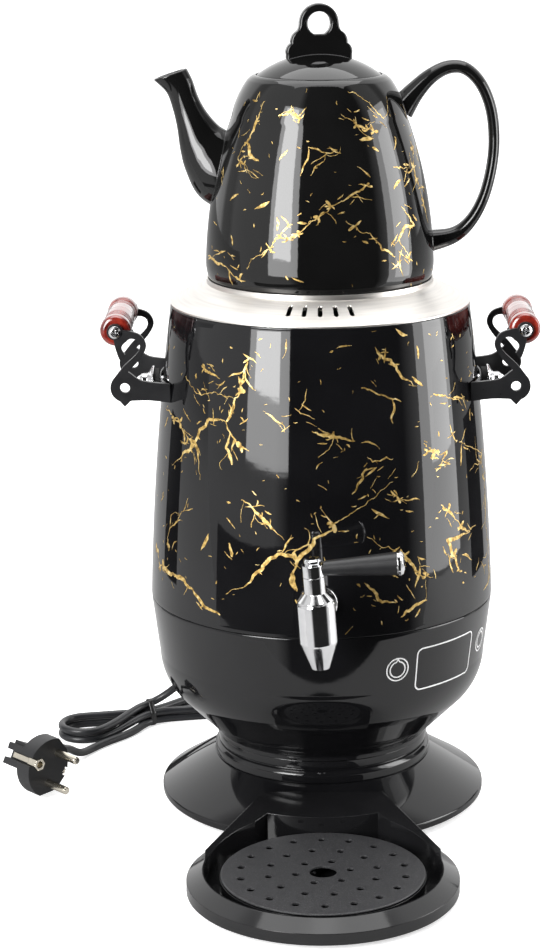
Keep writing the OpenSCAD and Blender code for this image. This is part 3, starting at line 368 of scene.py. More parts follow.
enamel = glossy_black("black_enamel", (0.004, 0.004, 0.0045), 0.035)
glaze = glossy_black("black_glaze", (0.004, 0.004, 0.004), 0.04, 0.0008, 0.00003)
housing = glossy_black("housing_gloss", (0.0045, 0.0045, 0.005), 0.05)
window = glossy_black("window_gloss", (0.003, 0.003, 0.0035), 0.02, 0.0001)
tray_gloss = glossy_black("tray_gloss", (0.006, 0.006, 0.0065), 0.09, 0.0006)
satin = plain_plastic("satin_black", (0.012, 0.012, 0.013), 0.3)
lever_satin = plain_plastic("lever_satin", (0.014, 0.014, 0.015), 0.36)
rubber = plain_plastic("rubber", (0.018, 0.018, 0.018), 0.75)
cord_pvc = plain_plastic("cord_pvc", (0.01, 0.0105, 0.012), 0.33, 1200, 0.00003)
plug_pvc = plain_plastic("plug_pvc", (0.01, 0.01, 0.011), 0.45, 1600, 0.00003)
tie_plastic = plain_plastic("tie_plastic", (0.008, 0.008, 0.008), 0.3)
white_print = plain_plastic("white_print", (0.86, 0.86, 0.86), 0.35)
component = plain_plastic("component", (0.035, 0.035, 0.04), 0.4)
ceramic_white = plain_plastic("ceramic_white", (0.72, 0.71, 0.68), 0.5)
gold = gold_print()
wood = lacquered_wood()
grille_paint = textured_paint()
green_board = board()
lid_steel = metal("lid_steel", (0.84, 0.81, 0.77), 0.36, (1, 1, 600), 2, 0.000005, polar=True)
tank_steel = metal("tank_steel", (0.62, 0.62, 0.61), 0.3, (1, 1, 30), 60, 0.00001)
chrome = metal("chrome", (0.86, 0.86, 0.87), 0.09, scale=90)
zinc = metal("zinc", (0.6, 0.6, 0.58), 0.32, scale=500)
brass = metal("brass", (0.72, 0.55, 0.25), 0.25, scale=300)
nickel = metal("nickel", (0.86, 0.8, 0.68), 0.2, scale=260)
sheath = metal("sheath", (0.16, 0.16, 0.17), 0.45, scale=220)


def carry_over(material, *names):
    """CAD nodes whose shape stays take a finish."""
    for name in names:
        slots = nodes[name].data.materials
        slots.clear()
        slots.append(material)


carry_over(chrome, "tap_flange", "tap_body", "tap_bonnet", "tap_spindle", "tap_cap", "lever_rod",
           "lever_end_cap", "handle_bolt_left", "handle_bolt_right", "handle_bolt_nuts", "bracket_nuts")
carry_over(satin, "handle_bracket_left", "handle_bracket_right", "base_cover")
carry_over(lever_satin, "lever_grip")
carry_over(lid_steel, "boiler_lid")
carry_over(tank_steel, "water_tank", "support_plate", "heater_plate")
carry_over(tray_gloss, "drip_tray")
carry_over(grille_paint, "drip_grille")
carry_over(rubber, "rubber_feet", "tray_feet", "seam_gasket", "lid_seal", "tap_washers", "bracket_spacers")
carry_over(zinc, "cover_screws", "neck_screws")
carry_over(brass, "tap_nut", "thermal_cutout")
carry_over(sheath, "heating_element")
carry_over(ceramic_white, "thermostat")
carry_over(green_board, "display_board", "control_board")
carry_over(component, "board_parts", "display_module")
carry_over(plug_pvc, "plug_body", "cord_gland")
carry_over(nickel, "plug_pins", "plug_earth")

# ---- Mains lead: from the gland over a hank of two layers, through its tie, to the plug ----

CORD_D = 5
LEAD = [
    (-77.1, 77.1, 60.8), (-82, 83, 56.5), (-85.3, 91.6, 50.2), (-86.9, 100.4, 43.4), (-88.8, 108.2, 36.6),
    (-92.2, 113.9, 30.8), (-96.8, 117.7, 25.6), (-102.2, 119.7, 20.8), (-108, 119.9, 16.8),
    (-113.4, 118.4, 14.5), (-118.3, 115.6, 13.7)]
TAIL = [
    (-115.1, 111.7, 3.5), (-118.6, 106.2, 3), (-122.6, 97.8, 2.7), (-128.8, 88.8, 2.7),
    (-136.4, 80.4, 2.7), (-143, 72.2, 2.7), (-148.4, 64, 2.7), (-152, 57, 3.3), (-154.8, 51.2, 5),
    (-157.2, 46.3, 7.9), (-159.4, 41.8, 11.1), (-161.3, 37.5, 13.4), (-163, 33, 14.5)]
HANK_START = (-154.5, 94)
HANK_TURN = math.radians(29.3)
HANK_LENGTH = 95
FOLD_R = 15.5
LOW_Z, HIGH_Z = 3.6, 8.8
TIE_X, TIE_Y = 47.5, 2.6
# Middle of the strand on top of the others at the tie, across and up
TOP_STRAND = (1.2, 14.4)
FLARE = math.radians(18)
WAIST_R = 40
# Where a strand starts to sink to the lower layer, and over what length
SINK_X, SINK_LENGTH = 50, 42
ROUTE_STEP = 1.5
RELAX_TIMES = 10
# From the tie down to the first fold, on top of the strand that sinks there; in the hank's own frame
DOWN = [(36.5, -0.4, 12.9), (31, -2.7, 11.8), (25.5, -5.3, 10.8), (20, -7.9, 9.9), (14.5, -10.4, 9.2),
        (9.3, -12.6, 8.9)]


def in_hank(x, y, z):
    """A point of the hank's own frame, x along it, in the row frame."""
    c, s = math.cos(HANK_TURN), math.sin(HANK_TURN)
    return (HANK_START[0] + c * x - s * y, HANK_START[1] + s * x + c * y, z)


def fold(x, first, z, steps=12):
    """Points round the end of the hank at x, from the side first (1 or -1) to the other."""
    out = -1 if x < HANK_LENGTH / 2 else 1
    turns = [-FLARE + (math.pi + 2 * FLARE) * k / steps for k in range(steps + 1)]
    return [in_hank(x + out * FOLD_R * math.sin(t), first * FOLD_R * math.cos(t), z) for t in turns]


def off_middle(x):
    """A strand's distance from the hank's middle: an arc past the tie, then straight to the fold."""
    along = abs(x - TIE_X)
    bend = WAIST_R * math.sin(FLARE)
    if along < bend:
        return TIE_Y + WAIST_R - math.sqrt(WAIST_R ** 2 - along ** 2)
    return TIE_Y + WAIST_R * (1 - math.cos(FLARE)) + (along - bend) * math.tan(FLARE)


def strand(side, start, end, height):
    """A strand on one side of the middle (1 or -1), whose height is a function of x."""
    count = round(abs(end - start) / CORD_D)
    places = [start + (end - start) * i / count for i in range(count + 1)]
    return [in_hank(x, side * off_middle(x), height(x)) for x in places]


def sinking(x):
    """Height of the strand that goes from the upper layer down to the lower one past the tie."""
    t = min(1, max(0, (SINK_X - x) / SINK_LENGTH))
    return HIGH_Z - (HIGH_Z - LOW_Z) * t * t * (3 - 2 * t)


def cord_route():
    first, last = 10, HANK_LENGTH - 10
    upper = strand(1, first, last, lambda x: HIGH_Z)
    lower = strand(1, first, last, lambda x: LOW_Z)
    return (LEAD + [in_hank(*p) for p in DOWN] + fold(0, -1, HIGH_Z) + upper + fold(HANK_LENGTH, 1, HIGH_Z)
            + strand(-1, last, first, sinking) + fold(0, -1, LOW_Z) + lower + fold(HANK_LENGTH, 1, LOW_Z)
            + strand(-1, last, TIE_X + 0.5, lambda x: LOW_Z) + TAIL)


def evenly(points, step):
    """The same line with points at an even step."""
    made = [points[0]]
    for goal in points[1:]:
        while (goal - made[-1]).length >= step:
            made.append(made[-1] + (goal - made[-1]).normalized() * step)
    return made + [points[-1]]


def relaxed(points, times):
    """The line as a stiff lead would take it: each point drawn towards the middle of its neighbours."""
    for _ in range(times):
        drawn = [b * 0.5 + (a + c) * 0.25 for a, b, c in zip(points, points[1:], points[2:])]
        points = [points[0]] + drawn + [points[-1]]
    return points


def make_tie():
    """A flat band round the five strands."""
    centres = [(y, z) for y in (-TIE_Y, TIE_Y) for z in (LOW_Z, HIGH_Z)] + [TOP_STRAND]
    ring_count, half_width, thick, bevel = 72, 1.9, 0.7, 0.5
    inner, outer = [], []
    for k in range(ring_count):
        t = 2 * math.pi * k / ring_count
        y, z = max(centres, key=lambda c: c[0] * math.cos(t) + c[1] * math.sin(t))
        for ring, r in ((inner, CORD_D / 2 + 0.05), (outer, CORD_D / 2 + thick)):
            ring.append((y + r * math.cos(t), z + r * math.sin(t)))

    def at(ring, x):
        return [in_hank(TIE_X - 0.5 + x, y, z) for y, z in ring]

    crowned = [(o[0] * 0.25 + i[0] * 0.75, o[1] * 0.25 + i[1] * 0.75) for i, o in zip(inner, outer)]
    rings = [
        at(inner, -half_width), at(crowned, -half_width), at(outer, -half_width + bevel),
        at(outer, half_width - bevel), at(crowned, half_width), at(inner, half_width),
        at(inner, -half_width)]
    return placed("tie_band", skin_mesh("tie_band", rings, False, False, 60), "boiler",
                  tie_plastic, ["cord_tie"])


def make_cord(tie):
    route = relaxed(evenly(smooth(cord_route(), 4), ROUTE_STEP), RELAX_TIMES)
    data = bpy.data.curves.new("mains_lead", "CURVE")
    data.dimensions = "3D"
    data.bevel_depth = CORD_D / 2 * MM
    data.bevel_resolution = 6
    data.use_fill_caps = True
    line = data.splines.new("POLY")
    line.points.add(len(route) - 1)
    for point, place in zip(line.points, route):
        point.co = (*(place * MM), 1)
    line.use_smooth = True
    cord = in_scene("mains_lead", data)
    data.materials.append(cord_pvc)
    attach(cord, "boiler")
    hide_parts("cord_lead", "cord_hank", "cord_tail")


make_cord(make_tie())

# ---- Foot, neck and bowl ----

RIM_TOP_Z, NECK_Z, BOWL_Z, SEAM_Z = 8.5, 28.2, 42, 129.8


def turned_housing(name, outline, node, sharp_angle=40):
    """A piece of the black housing, turned about the Z axis, in place of a CAD node."""
    mesh = lathe_mesh(name, outline, sharp_angle=sharp_angle)
    placed(name, mesh, "boiler", housing, [node])


def make_foot():
    outline = rounded([
        (20, NECK_Z), (20, NECK_Z - 3), (63.5, NECK_Z - 3), (95, RIM_TOP_Z - 1.5), (95, 4), (97, 4),
        (98, 5), (98, RIM_TOP_Z), (65.5, NECK_Z), (20, NECK_Z)], 0.9)
    turned_housing("foot", outline, "foot_disc")


def make_neck():
    outline = rounded([
        (60.3, NECK_Z), (64.8, NECK_Z), (65.3, NECK_Z + 0.6), (65.3, NECK_Z + 5.2), (63.7, NECK_Z + 7.4),
        (62.4, NECK_Z + 7.6), (62.4, NECK_Z + 8.4), (63.3, NECK_Z + 8.6), (63.3, BOWL_Z),
        (60.3, BOWL_Z), (60.3, NECK_Z)], 0.7)
    turned_housing("neck", outline, "neck_ring")


BOWL_OUTLINE = (
    [(64, BOWL_Z), (64, BOWL_Z + 3)] + arc((88.5, 69.5), (98.02, 94), 2.25)
    + [(102.2, SEAM_Z - 2), (102.2, SEAM_Z)])
BOWL_INSIDE = [
    (99.2, SEAM_Z), (99.2, SEAM_Z - 2), (95, 94), (86, 71), (62, 47), (61, 45), (20, 45), (20, BOWL_Z)]


def make_bowl():
    outline = rounded(BOWL_OUTLINE + BOWL_INSIDE + [BOWL_OUTLINE[0]], 1.5)
    turned_housing("bowl", outline, "bowl_housing", 60)


make_foot()
make_neck()
make_bowl()

# ---- Printed marks, drawn on a surface of revolution as thin skins ----


def on_surface(outline, angle, z, lift):
    """The point at an angle from -Y in degrees, positive to +X, and a height, lifted off the surface."""
    r = radius_at(outline, z) + lift
    a = math.radians(angle)
    return (r * math.sin(a), -r * math.cos(a), z)


def ribbon(outline, spots, widths, lift, scale_r):
    """Points and faces of a band through spots of (arc length, height), on the surface."""
    points, faces = [], []
    last = len(spots) - 1
    for i, (s, z) in enumerate(spots):
        before, after = spots[max(i - 1, 0)], spots[min(i + 1, last)]
        run = Vector((after[0] - before[0], after[1] - before[1]))
        side = Vector((-run.y, run.x)).normalized() * widths[i] / 2
        for sign in (1, -1):
            at_s, at_z = s + sign * side.x, z + sign * side.y
            points.append(on_surface(outline, math.degrees(at_s / scale_r), at_z, lift))
    for i in range(last):
        faces.append((2 * i, 2 * i + 1, 2 * i + 3, 2 * i + 2))
    return points, faces


def mesh_of_ribbons(name, ribbons):
    points, faces = [], []
    for more_points, more_faces in ribbons:
        start = len(points)
        points += more_points
        faces += [[start + i for i in face] for face in more_faces]
    return mesh_of(name, points, faces, 180)


DISPLAY_ANGLE, DISPLAY_Z = 47, 105
DISPLAY_W, DISPLAY_H, DISPLAY_R = 50, 27, 4
KEY_ANGLES, KEY_Z = (25.7, 69.6), 107.5
# Radius of a key's ring, radius of the mark inside it, and how far that mark's peak stands out
KEY_R, MARK_R, MARK_PEAK = 6.9, 4.8, 1.6
FRAME_LINE, KEY_LINE = 0.9, 0.8
BOWL_R = 100


def loop_of(w, h, r, steps=8):
    """Round rectangle as a closed list of (across, up)."""
    made = []
    for cx, cy, first in ((1, 1, 0), (-1, 1, 90), (-1, -1, 180), (1, -1, 270)):
        for i in range(steps + 1):
            a = math.radians(first + 90 * i / steps)
            made.append((cx * (w / 2 - r) + r * math.cos(a), cy * (h / 2 - r) + r * math.sin(a)))
    return made + [made[0]]


def finer(loop, step):
    """The loop with extra points, so that none is further than step from the next."""
    made = []
    for (x0, y0), (x1, y1) in zip(loop, loop[1:]):
        count = max(1, math.ceil(math.hypot(x1 - x0, y1 - y0) / step))
        made += [(x0 + (x1 - x0) * i / count, y0 + (y1 - y0) * i / count) for i in range(count)]
    return made + [loop[-1]]


def print_loop(loop, angle, z, width, lift=0.12):
    """A closed printed line round a place on the bowl."""
    at = math.radians(angle) * BOWL_R
    spots = [(at + x, z + y) for x, y in finer(loop, 1.5)]
    return ribbon(BOWL_OUTLINE, spots, [width] * len(spots), lift, BOWL_R)


def make_display():
    at = math.radians(DISPLAY_ANGLE) * BOWL_R
    rim = finer(loop_of(DISPLAY_W, DISPLAY_H, DISPLAY_R), 2)[:-1]
    rings = []
    for size in [k / 8 for k in range(9)]:
        spots = [(math.degrees((at + x * size) / BOWL_R), DISPLAY_Z + y * size) for x, y in rim]
        rings.append([on_surface(BOWL_OUTLINE, angle, z, 0.05) for angle, z in spots])
    mesh = skin_mesh("display", rings, False, False, 180)
    placed("display", mesh, "boiler", window, ["display_window"])
    frame_loop = loop_of(DISPLAY_W - 1.4, DISPLAY_H - 1.4, DISPLAY_R - 0.4)
    lines = [print_loop(frame_loop, DISPLAY_ANGLE, DISPLAY_Z, FRAME_LINE)]
    mark = []
    for degrees in range(0, 361, 12):
        t = math.radians(degrees)
        peak = MARK_PEAK if degrees in (0, 360) else 0
        mark.append((MARK_R * math.sin(t), MARK_R * math.cos(t) + peak))
    for angle in KEY_ANGLES:
        lines.append(print_loop(loop_of(2 * KEY_R, 2 * KEY_R, KEY_R), angle, KEY_Z, KEY_LINE))
        lines.append(print_loop(mark, angle, KEY_Z, KEY_LINE))
    placed("display_lines", mesh_of_ribbons("display_lines", lines), "boiler", white_print)


make_display()

# ---- Boiler shell ----

SHELL_Z, SHELL_TOP_Z = 130.4, 305.4
SHELL_WALL, LIP_T = 1.2, 1.2
SHELL_OUTLINE = (
    [(102.4, SHELL_Z), (102.4, SHELL_Z + 1.5)] + arc((102.35, SHELL_Z + 2.5), (88.2, 300.9), 2, 40)
    + [(87.9, SHELL_TOP_Z - 1.5), (87.9, SHELL_TOP_Z)])


def make_shell():
    inside = [(r - SHELL_WALL, z) for r, z in reversed(SHELL_OUTLINE)]
    outline = rounded(SHELL_OUTLINE + inside + [SHELL_OUTLINE[0]], 0.5)
    mesh = lathe_mesh("shell", outline)
    for inner_r, outer_r, low in ((96.4, 101.5, SHELL_Z), (82, 87.2, 303.2)):
        high = low + LIP_T
        lip = [(inner_r, low), (inner_r, high), (outer_r, high), (outer_r, low), (inner_r, low)]
        add_mesh(mesh, lathe_mesh("lip", rounded(lip, 0.3)))
    placed("shell", mesh, "boiler", enamel, ["outer_shell"])


make_shell()

# ---- Gold veins on shell and teapot: main lines through pixels, cast on the surface they lie on ----

# Each line starts with its width in millimetres, of which VEIN_SHARE is drawn
SHELL_LINES = [
    (1.5, (226, 594), (255, 574), (278, 554), (298, 560), (318, 537), (341, 520), (370, 500), (393, 482)),
    (2.6, (293, 552), (297, 562), (292, 574), (296, 590)),
    (1.9, (248, 362), (242, 380), (234, 405), (226, 422)),
    (2.6, (226, 422), (232, 436), (249, 451)),
    (1.5, (230, 432), (226, 448), (232, 465)),
    (1.3, (226, 422), (209, 419), (195, 442), (172, 465)),
    (1.6, (166, 408), (178, 418), (195, 442), (200, 480)),
    (1.1, (186, 376), (209, 393), (235, 399)),
    (1.7, (204, 368), (220, 379)),
    (1.1, (375, 347), (396, 366), (413, 385)),
    (2.3, (361, 388), (374, 392), (388, 398), (401, 402)),
    (1.4, (312, 431), (334, 437), (355, 441)),
    (1.0, (334, 437), (318, 457)),
    (1.6, (433, 394), (448, 398), (462, 405)),
    (1.4, (459, 442), (472, 447), (482, 454), (470, 471)),
    (1.5, (427, 451), (447, 451), (436, 471)),
    (1.0, (367, 457), (380, 461), (393, 459)),
    (1.3, (352, 494), (360, 482), (367, 468)),
    (0.9, (387, 494), (399, 499), (413, 500)),
    (1.2, (241, 500), (262, 518), (272, 528), (284, 540)),
    (1.3, (367, 537), (401, 551), (416, 571), (433, 577)),
    (1.5, (441, 505), (456, 520), (470, 531), (447, 540), (462, 571)),
    (1.2, (482, 465), (485, 523), (490, 580)),
    (1.8, (157, 548), (160, 566), (180, 577), (195, 594), (220, 615)),
    (1.1, (168, 548), (178, 520), (188, 498)),
    (1.4, (229, 543), (232, 557)),
    (1.1, (364, 583), (378, 600), (396, 603)),
    (0.8, (295, 408), (315, 419)),
    (0.8, (263, 411), (284, 425)),
    (1.2, (401, 617), (427, 600)),
]
POT_LINES = [
    (1.2, (247, 269), (261, 255), (276, 238), (293, 240), (310, 221), (331, 206), (353, 194), (368, 184)),
    (1.4, (265, 101), (256, 122), (247, 143)),
    (1.7, (247, 143), (250, 155), (259, 161)),
    (1.0, (247, 143), (238, 158), (247, 173)),
    (1.0, (278, 116), (302, 118), (288, 110)),
    (1.2, (348, 92), (361, 97), (384, 119)),
    (1.0, (341, 114), (358, 126), (375, 132)),
    (1.5, (308, 147), (327, 153), (341, 153)),
    (0.9, (327, 153), (311, 164)),
    (1.1, (393, 167), (407, 167), (404, 182)),
    (1.2, (411, 141), (414, 170), (421, 194), (428, 223)),
    (1.2, (401, 206), (414, 225), (399, 238), (410, 262)),
    (1.1, (346, 221), (370, 233), (382, 250), (395, 257)),
    (1.2, (208, 255), (222, 264), (232, 274), (242, 282)),
]
VEIN_SHARE = 0.78
LONGEST_STRETCH = 1.6
PRINT_LIFT = 0.06


def cast(outline, px, py):
    """Where the ray through a pixel meets a turned surface, as (angle from -Y in radians, height)."""
    camera = bpy.context.scene.camera.matrix_world
    ray = camera.to_3x3() @ Vector((px - AXIS_PX, HEIGHT_PX / 2 - py, -FOCAL_PX))
    eye = camera.translation / MM
    r = outline[len(outline) // 2][0]
    for _ in range(12):
        a = ray.x ** 2 + ray.y ** 2
        b = eye.x * ray.x + eye.y * ray.y
        inside = max(b * b - a * (eye.x ** 2 + eye.y ** 2 - r * r), 0)
        spot = eye + ray * ((-b - math.sqrt(inside)) / a)
        r = radius_at(outline, spot.z)
    return math.atan2(spot.x, -spot.y), spot.z


def jagged(line, rng, rough):
    """The line with its stretches broken at random, over and over until none is too long."""
    while max(math.dist(a, b) for a, b in zip(line, line[1:])) > LONGEST_STRETCH:
        finer_line = [line[0]]
        for a, b in zip(line, line[1:]):
            length = math.dist(a, b)
            if length > LONGEST_STRETCH:
                off = rng.gauss(0, rough * length)
                side = ((a[1] - b[1]) / length, (b[0] - a[0]) / length)
                finer_line.append(((a[0] + b[0]) / 2 + off * side[0], (a[1] + b[1]) / 2 + off * side[1]))
            finer_line.append(b)
        line = finer_line
    return line


class Print:
    """Veins, blots and specks on a turned surface, in (arc length, height) on it."""

    def __init__(self, outline, scale_r, low, high, seed):
        self.outline, self.scale_r = outline, scale_r
        self.low, self.high = low, high
        self.rng = random.Random(seed)
        self.strokes = []

    def stroke(self, line, width, taper=1.0):
        """A stroke whose width wavers slowly, with pointed ends as far as taper says."""
        rng = self.rng
        last = len(line) - 1
        lump, drift = rng.uniform(0.7, 1.2), 0
        widths = []
        for i in range(last + 1):
            t = i / max(last, 1)
            drift = 0.75 * drift + rng.gauss(0, 0.13)
            lump = min(1.9, max(0.45, lump + drift))
            ends = min(1, 3.2 * min(t, 1 - t) + 0.12) ** taper
            widths.append(max(0.2, width * lump * ends))
        if all(self.low < z < self.high for _, z in line):
            self.strokes.append((line, widths))

    def walk(self, start, heading, length, turn):
        """A wandering line from start."""
        rng = self.rng
        line = [start]
        while length > 0:
            step = rng.uniform(0.7, 1.5)
            heading += rng.gauss(0, turn)
            x, y = line[-1]
            line.append((x + step * math.cos(heading), y + step * math.sin(heading)))
            length -= step
        return line

    def knot(self, at, along, width):
        """A swelling of a vein with points that run out of it."""
        rng = self.rng
        for turn in (0, 2.2, -2.2, 3.6):
            reach = rng.uniform(1.6, 4.4)
            self.stroke(self.walk(at, along + turn + rng.gauss(0, 0.4), reach, 0.3), width * 1.25, 0.4)

    def vein(self, line, width):
        rng = self.rng
        path = jagged(line, rng, 0.085)
        self.stroke(path, width, 0.5)
        for a, b in zip(path, path[1:]):
            along = math.atan2(b[1] - a[1], b[0] - a[0])
            side = rng.choice((-1, 1))
            chance = rng.random()
            if chance < 0.045:
                branch = self.walk(a, along + side * rng.uniform(0.4, 1.1), rng.uniform(6, 17), 0.22)
                self.stroke(branch, width * rng.uniform(0.4, 0.75))
            elif chance < 0.085:
                self.knot(a, along, width)
            elif chance < 0.16:
                off = side * rng.uniform(2, 6)
                start = (a[0] - off * math.sin(along), a[1] + off * math.cos(along))
                self.stroke(self.walk(start, along + rng.gauss(0, 0.25), rng.uniform(3, 8), 0.15),
                            rng.uniform(0.4, 0.8))
            elif chance < 0.26:
                self.speck((a[0] + rng.gauss(0, 5), a[1] + rng.gauss(0, 5)), along)

    def speck(self, at, heading):
        rng = self.rng
        self.stroke(self.walk(at, heading + rng.gauss(0, 0.5), rng.uniform(0.8, 2.6), 0.4),
                    rng.uniform(0.35, 0.85), 0.6)

    def scatter(self, count, half_width):
        """Dashes, small forks and specks all over the front of the print."""
        rng = self.rng
        for _ in range(count):
            at = (rng.uniform(-half_width, half_width), rng.uniform(self.low, self.high))
            heading = rng.choice((0.7, -0.6, 2.3)) + rng.gauss(0, 0.4)
            if rng.random() < 0.35:
                dash = self.walk(at, heading, rng.uniform(4, 12), 0.14)
                self.stroke(dash, rng.uniform(0.5, 1.1))
                if rng.random() < 0.4:
                    self.stroke(self.walk(dash[len(dash) // 2], heading + 0.9, rng.uniform(2, 5), 0.3), 0.7)
            else:
                self.speck(at, heading)

    def mesh(self, name, copies):
        """The print, repeated evenly round the surface."""
        ribbons = []
        for k in range(copies):
            shift = 2 * math.pi * self.scale_r * k / copies
            for line, widths in self.strokes:
                moved = [(s + shift, z) for s, z in line]
                ribbons.append(ribbon(self.outline, moved, widths, PRINT_LIFT, self.scale_r))
        return mesh_of_ribbons(name, ribbons)


def print_on(outline, scale_r, low, high, lines, count, seed):
    """The listed veins and count more marks between two heights of a turned surface."""
    marks = Print(outline, scale_r, low, high, seed)
    for width, *pixels in lines:
        spots = [cast(outline, *pixel) for pixel in pixels]
        marks.vein([(angle * scale_r, z) for angle, z in spots], width * VEIN_SHARE)
    marks.scatter(count, math.pi * scale_r / 2)
    return marks


def make_shell_print():
    marks = print_on(SHELL_OUTLINE, scale_r=97, low=SHELL_Z + 2, high=SHELL_TOP_Z - 2,
                     lines=SHELL_LINES, count=150, seed=11)
    placed("shell_veins", marks.mesh("shell_veins", 2), "boiler", gold)


make_shell_print()

# ---- Teapot ----

POT_Z, POT_TOP_Z = 313.1, 437.3
MOUTH_R = 31
POT_OUTLINE = (
    rounded([(0, POT_Z), (60, POT_Z)] + arc((61.6, POT_Z + 1), (66.6, POT_Z + 15.5), 1.2, 12)
            + arc((66.6, POT_Z + 17), (50.5, POT_TOP_Z - 23.4), 3.4, 40)
            + arc((50.5, POT_TOP_Z - 23.4), (41.3, POT_TOP_Z - 2.6), 1.2, 16)
            + [(39, POT_TOP_Z - 0.7), (37.2, POT_TOP_Z), (36.4, POT_TOP_Z)], 0.8))
POT_MOUTH = [
    (36.4, POT_TOP_Z - 2.6), (MOUTH_R, POT_TOP_Z - 2.6), (MOUTH_R, POT_TOP_Z - 6), (36.5, POT_TOP_Z - 7.2)]
POT_CAVITY = (
    arc((63.1, POT_Z + 17), (47, POT_TOP_Z - 24.4), 3.4, 24)[::-1]
    + arc((59, POT_Z + 5.5), (63.1, POT_Z + 16), 1.4, 8)[::-1]
    + [(56, POT_Z + 4.5), (0, POT_Z + 4.5)])

# Centre x and height above the base, tilt of the section in degrees, half length, half width
SPOUT_STATIONS = [
    (-46, 60, 60, 18, 16), (-57, 69.4, 50, 20, 15.5), (-64.2, 79.6, 41, 17.2, 13),
    (-69.2, 87.7, 35, 13.4, 10.6), (-73.5, 98.7, 29, 9.7, 8.4), (-76.9, 108.2, 26, 8.2, 7.2),
    (-80.2, 117.7, 25, 8.3, 6.8), (-85.2, 124.3, 18, 10, 7.2)]
SPOUT_WALL = 2.8
# X and height above the base, half thickness, half width
HANDLE_STATIONS = [
    (47, 104, 8, 8), (55, 114, 5.8, 6.6), (64, 122.6, 4.5, 5.8), (74, 127.7, 3.9, 5.5),
    (84, 127, 3.6, 5.5), (93, 118.4, 3.4, 5.5), (99, 104, 3.3, 5.5), (101, 86, 3.2, 5.5),
    (99.5, 69, 3.2, 5.5), (95, 52, 3.3, 5.5), (87.5, 38.5, 3.7, 5.6), (77.5, 30.5, 4.8, 6.2),
    (62, 27, 6.8, 7.5)]


def oval(x, up, lean, half_long, half_wide, count):
    """An oval round a place in the XZ plane; lean is the direction of its long axis in that plane."""
    ring = []
    for k in range(count):
        t = 2 * math.pi * k / count
        u, v = half_long * math.cos(t), half_wide * math.sin(t)
        ring.append((x + u * lean[0], v, POT_Z + up + u * lean[1]))
    return ring


def spout_ring(station, wall):
    x, up, tilt, half_long, half_wide = station
    tilt = math.radians(tilt)
    return oval(x, up, (math.cos(tilt), math.sin(tilt)), half_long - wall, half_wide - wall, 64)


def spout_mesh():
    """Outside up to the lip, over it, and back down the bore."""
    stations = smooth(SPOUT_STATIONS, 8)
    rings = [spout_ring(s, 0) for s in stations]
    lip = stations[-1]
    for k in range(1, 6):
        t = math.pi * k / 6
        rise = Vector((-0.35, 0.94, 0, 0, 0)) * (SPOUT_WALL / 2 * 0.5 * math.sin(t))
        rings.append(spout_ring(lip + rise, SPOUT_WALL * (1 - math.cos(t)) / 2))
    rings += [spout_ring(s, SPOUT_WALL) for s in reversed(stations[24:])]
    return skin_mesh("spout", rings, True, True, 80)


def handle_mesh():
    stations = smooth(HANDLE_STATIONS, 8)
    last = len(stations) - 1
    rings = []
    for i, (x, up, half_thick, half_wide) in enumerate(stations):
        a, b = stations[max(i - 1, 0)], stations[min(i + 1, last)]
        run = Vector((b[0] - a[0], b[1] - a[1])).normalized()
        rings.append(oval(x, up, (run.y, -run.x), half_thick, half_wide, 48))
    return skin_mesh("handle", rings, True, True, 80)


def make_teapot():
    outline = POT_OUTLINE + POT_MOUTH + POT_CAVITY
    mesh = lathe_mesh("teapot", outline, closed=False, sharp_angle=50)
    add_mesh(mesh, spout_mesh())
    add_mesh(mesh, handle_mesh())
    placed("teapot", mesh, "teapot", glaze, ["teapot_body"])
    marks = print_on(POT_OUTLINE, scale_r=62, low=POT_Z + 3, high=POT_TOP_Z - 4,
                     lines=POT_LINES, count=70, seed=23)
    placed("teapot_veins", marks.mesh("teapot_veins", 2), "teapot", gold)


KNOB_TURN = math.radians(8)
KNOB_T = 8
KNOB_BASE_Z = 444.3
EYE_Z, EYE_R, EYE_HOLE_R = 466.2, 11.3, 6.7
KNOB_HALF = 18.9
# Up from the base over two scallops to the eye
KNOB_SIDE = (
    [(KNOB_HALF, KNOB_BASE_Z - 4), (KNOB_HALF, KNOB_BASE_Z)]
    + arc((KNOB_HALF, KNOB_BASE_Z + 4.5), (KNOB_HALF - 2.5, KNOB_BASE_Z + 10.7), 1.2, 8)
    + arc((KNOB_HALF - 2.5, KNOB_BASE_Z + 10.7), (KNOB_HALF - 6.4, KNOB_BASE_Z + 17.8), 1.3, 8)
    + [(EYE_R + 0.4, EYE_Z - 2.4)])


def knob_outline(grow):
    """The knob's outline around its eye, grown by a distance, from low right over the top to low left."""
    side = [(x + grow, z) for x, z in KNOB_SIDE]
    reach = EYE_R + grow
    top = [(reach * math.cos(math.pi * k / 24), EYE_Z + reach * math.sin(math.pi * k / 24))
           for k in range(25)]
    return rounded(side + top + [(-x, z) for x, z in reversed(side)], 0.8, 3)


def knob_mesh():
    """A plate with rounded edges around its outline and its hole."""
    edge, steps = 1.5, 6
    hole_start, hole_sweep = -64, 308
    profile = []
    for k in range(steps + 1):
        t = math.pi / 2 * k / steps
        profile.append((edge * (math.sin(t) - 1), -KNOB_T / 2 + edge * (1 - math.cos(t))))
    profile += [(g, -y) for g, y in reversed(profile)]
    count = len(knob_outline(0))
    c, s = math.cos(KNOB_TURN), math.sin(KNOB_TURN)

    def at(x, y, z):
        return (c * x - s * y, s * x + c * y, z)

    rings = [[at(x, y, z) for x, z in knob_outline(grow)] for grow, y in profile]
    turns = [math.radians(hole_start + hole_sweep * i / (count - 1)) for i in range(count)]
    hole = []
    for grow, y in reversed(profile):
        r = EYE_HOLE_R - grow * 0.8
        hole.append([at(r * math.cos(t), y, EYE_Z + r * math.sin(t)) for t in turns])
    return skin_mesh("knob", rings + hole + [rings[0]], False, False, 60)


LID_R = 35.9
DOME_TOP_Z = 448.9


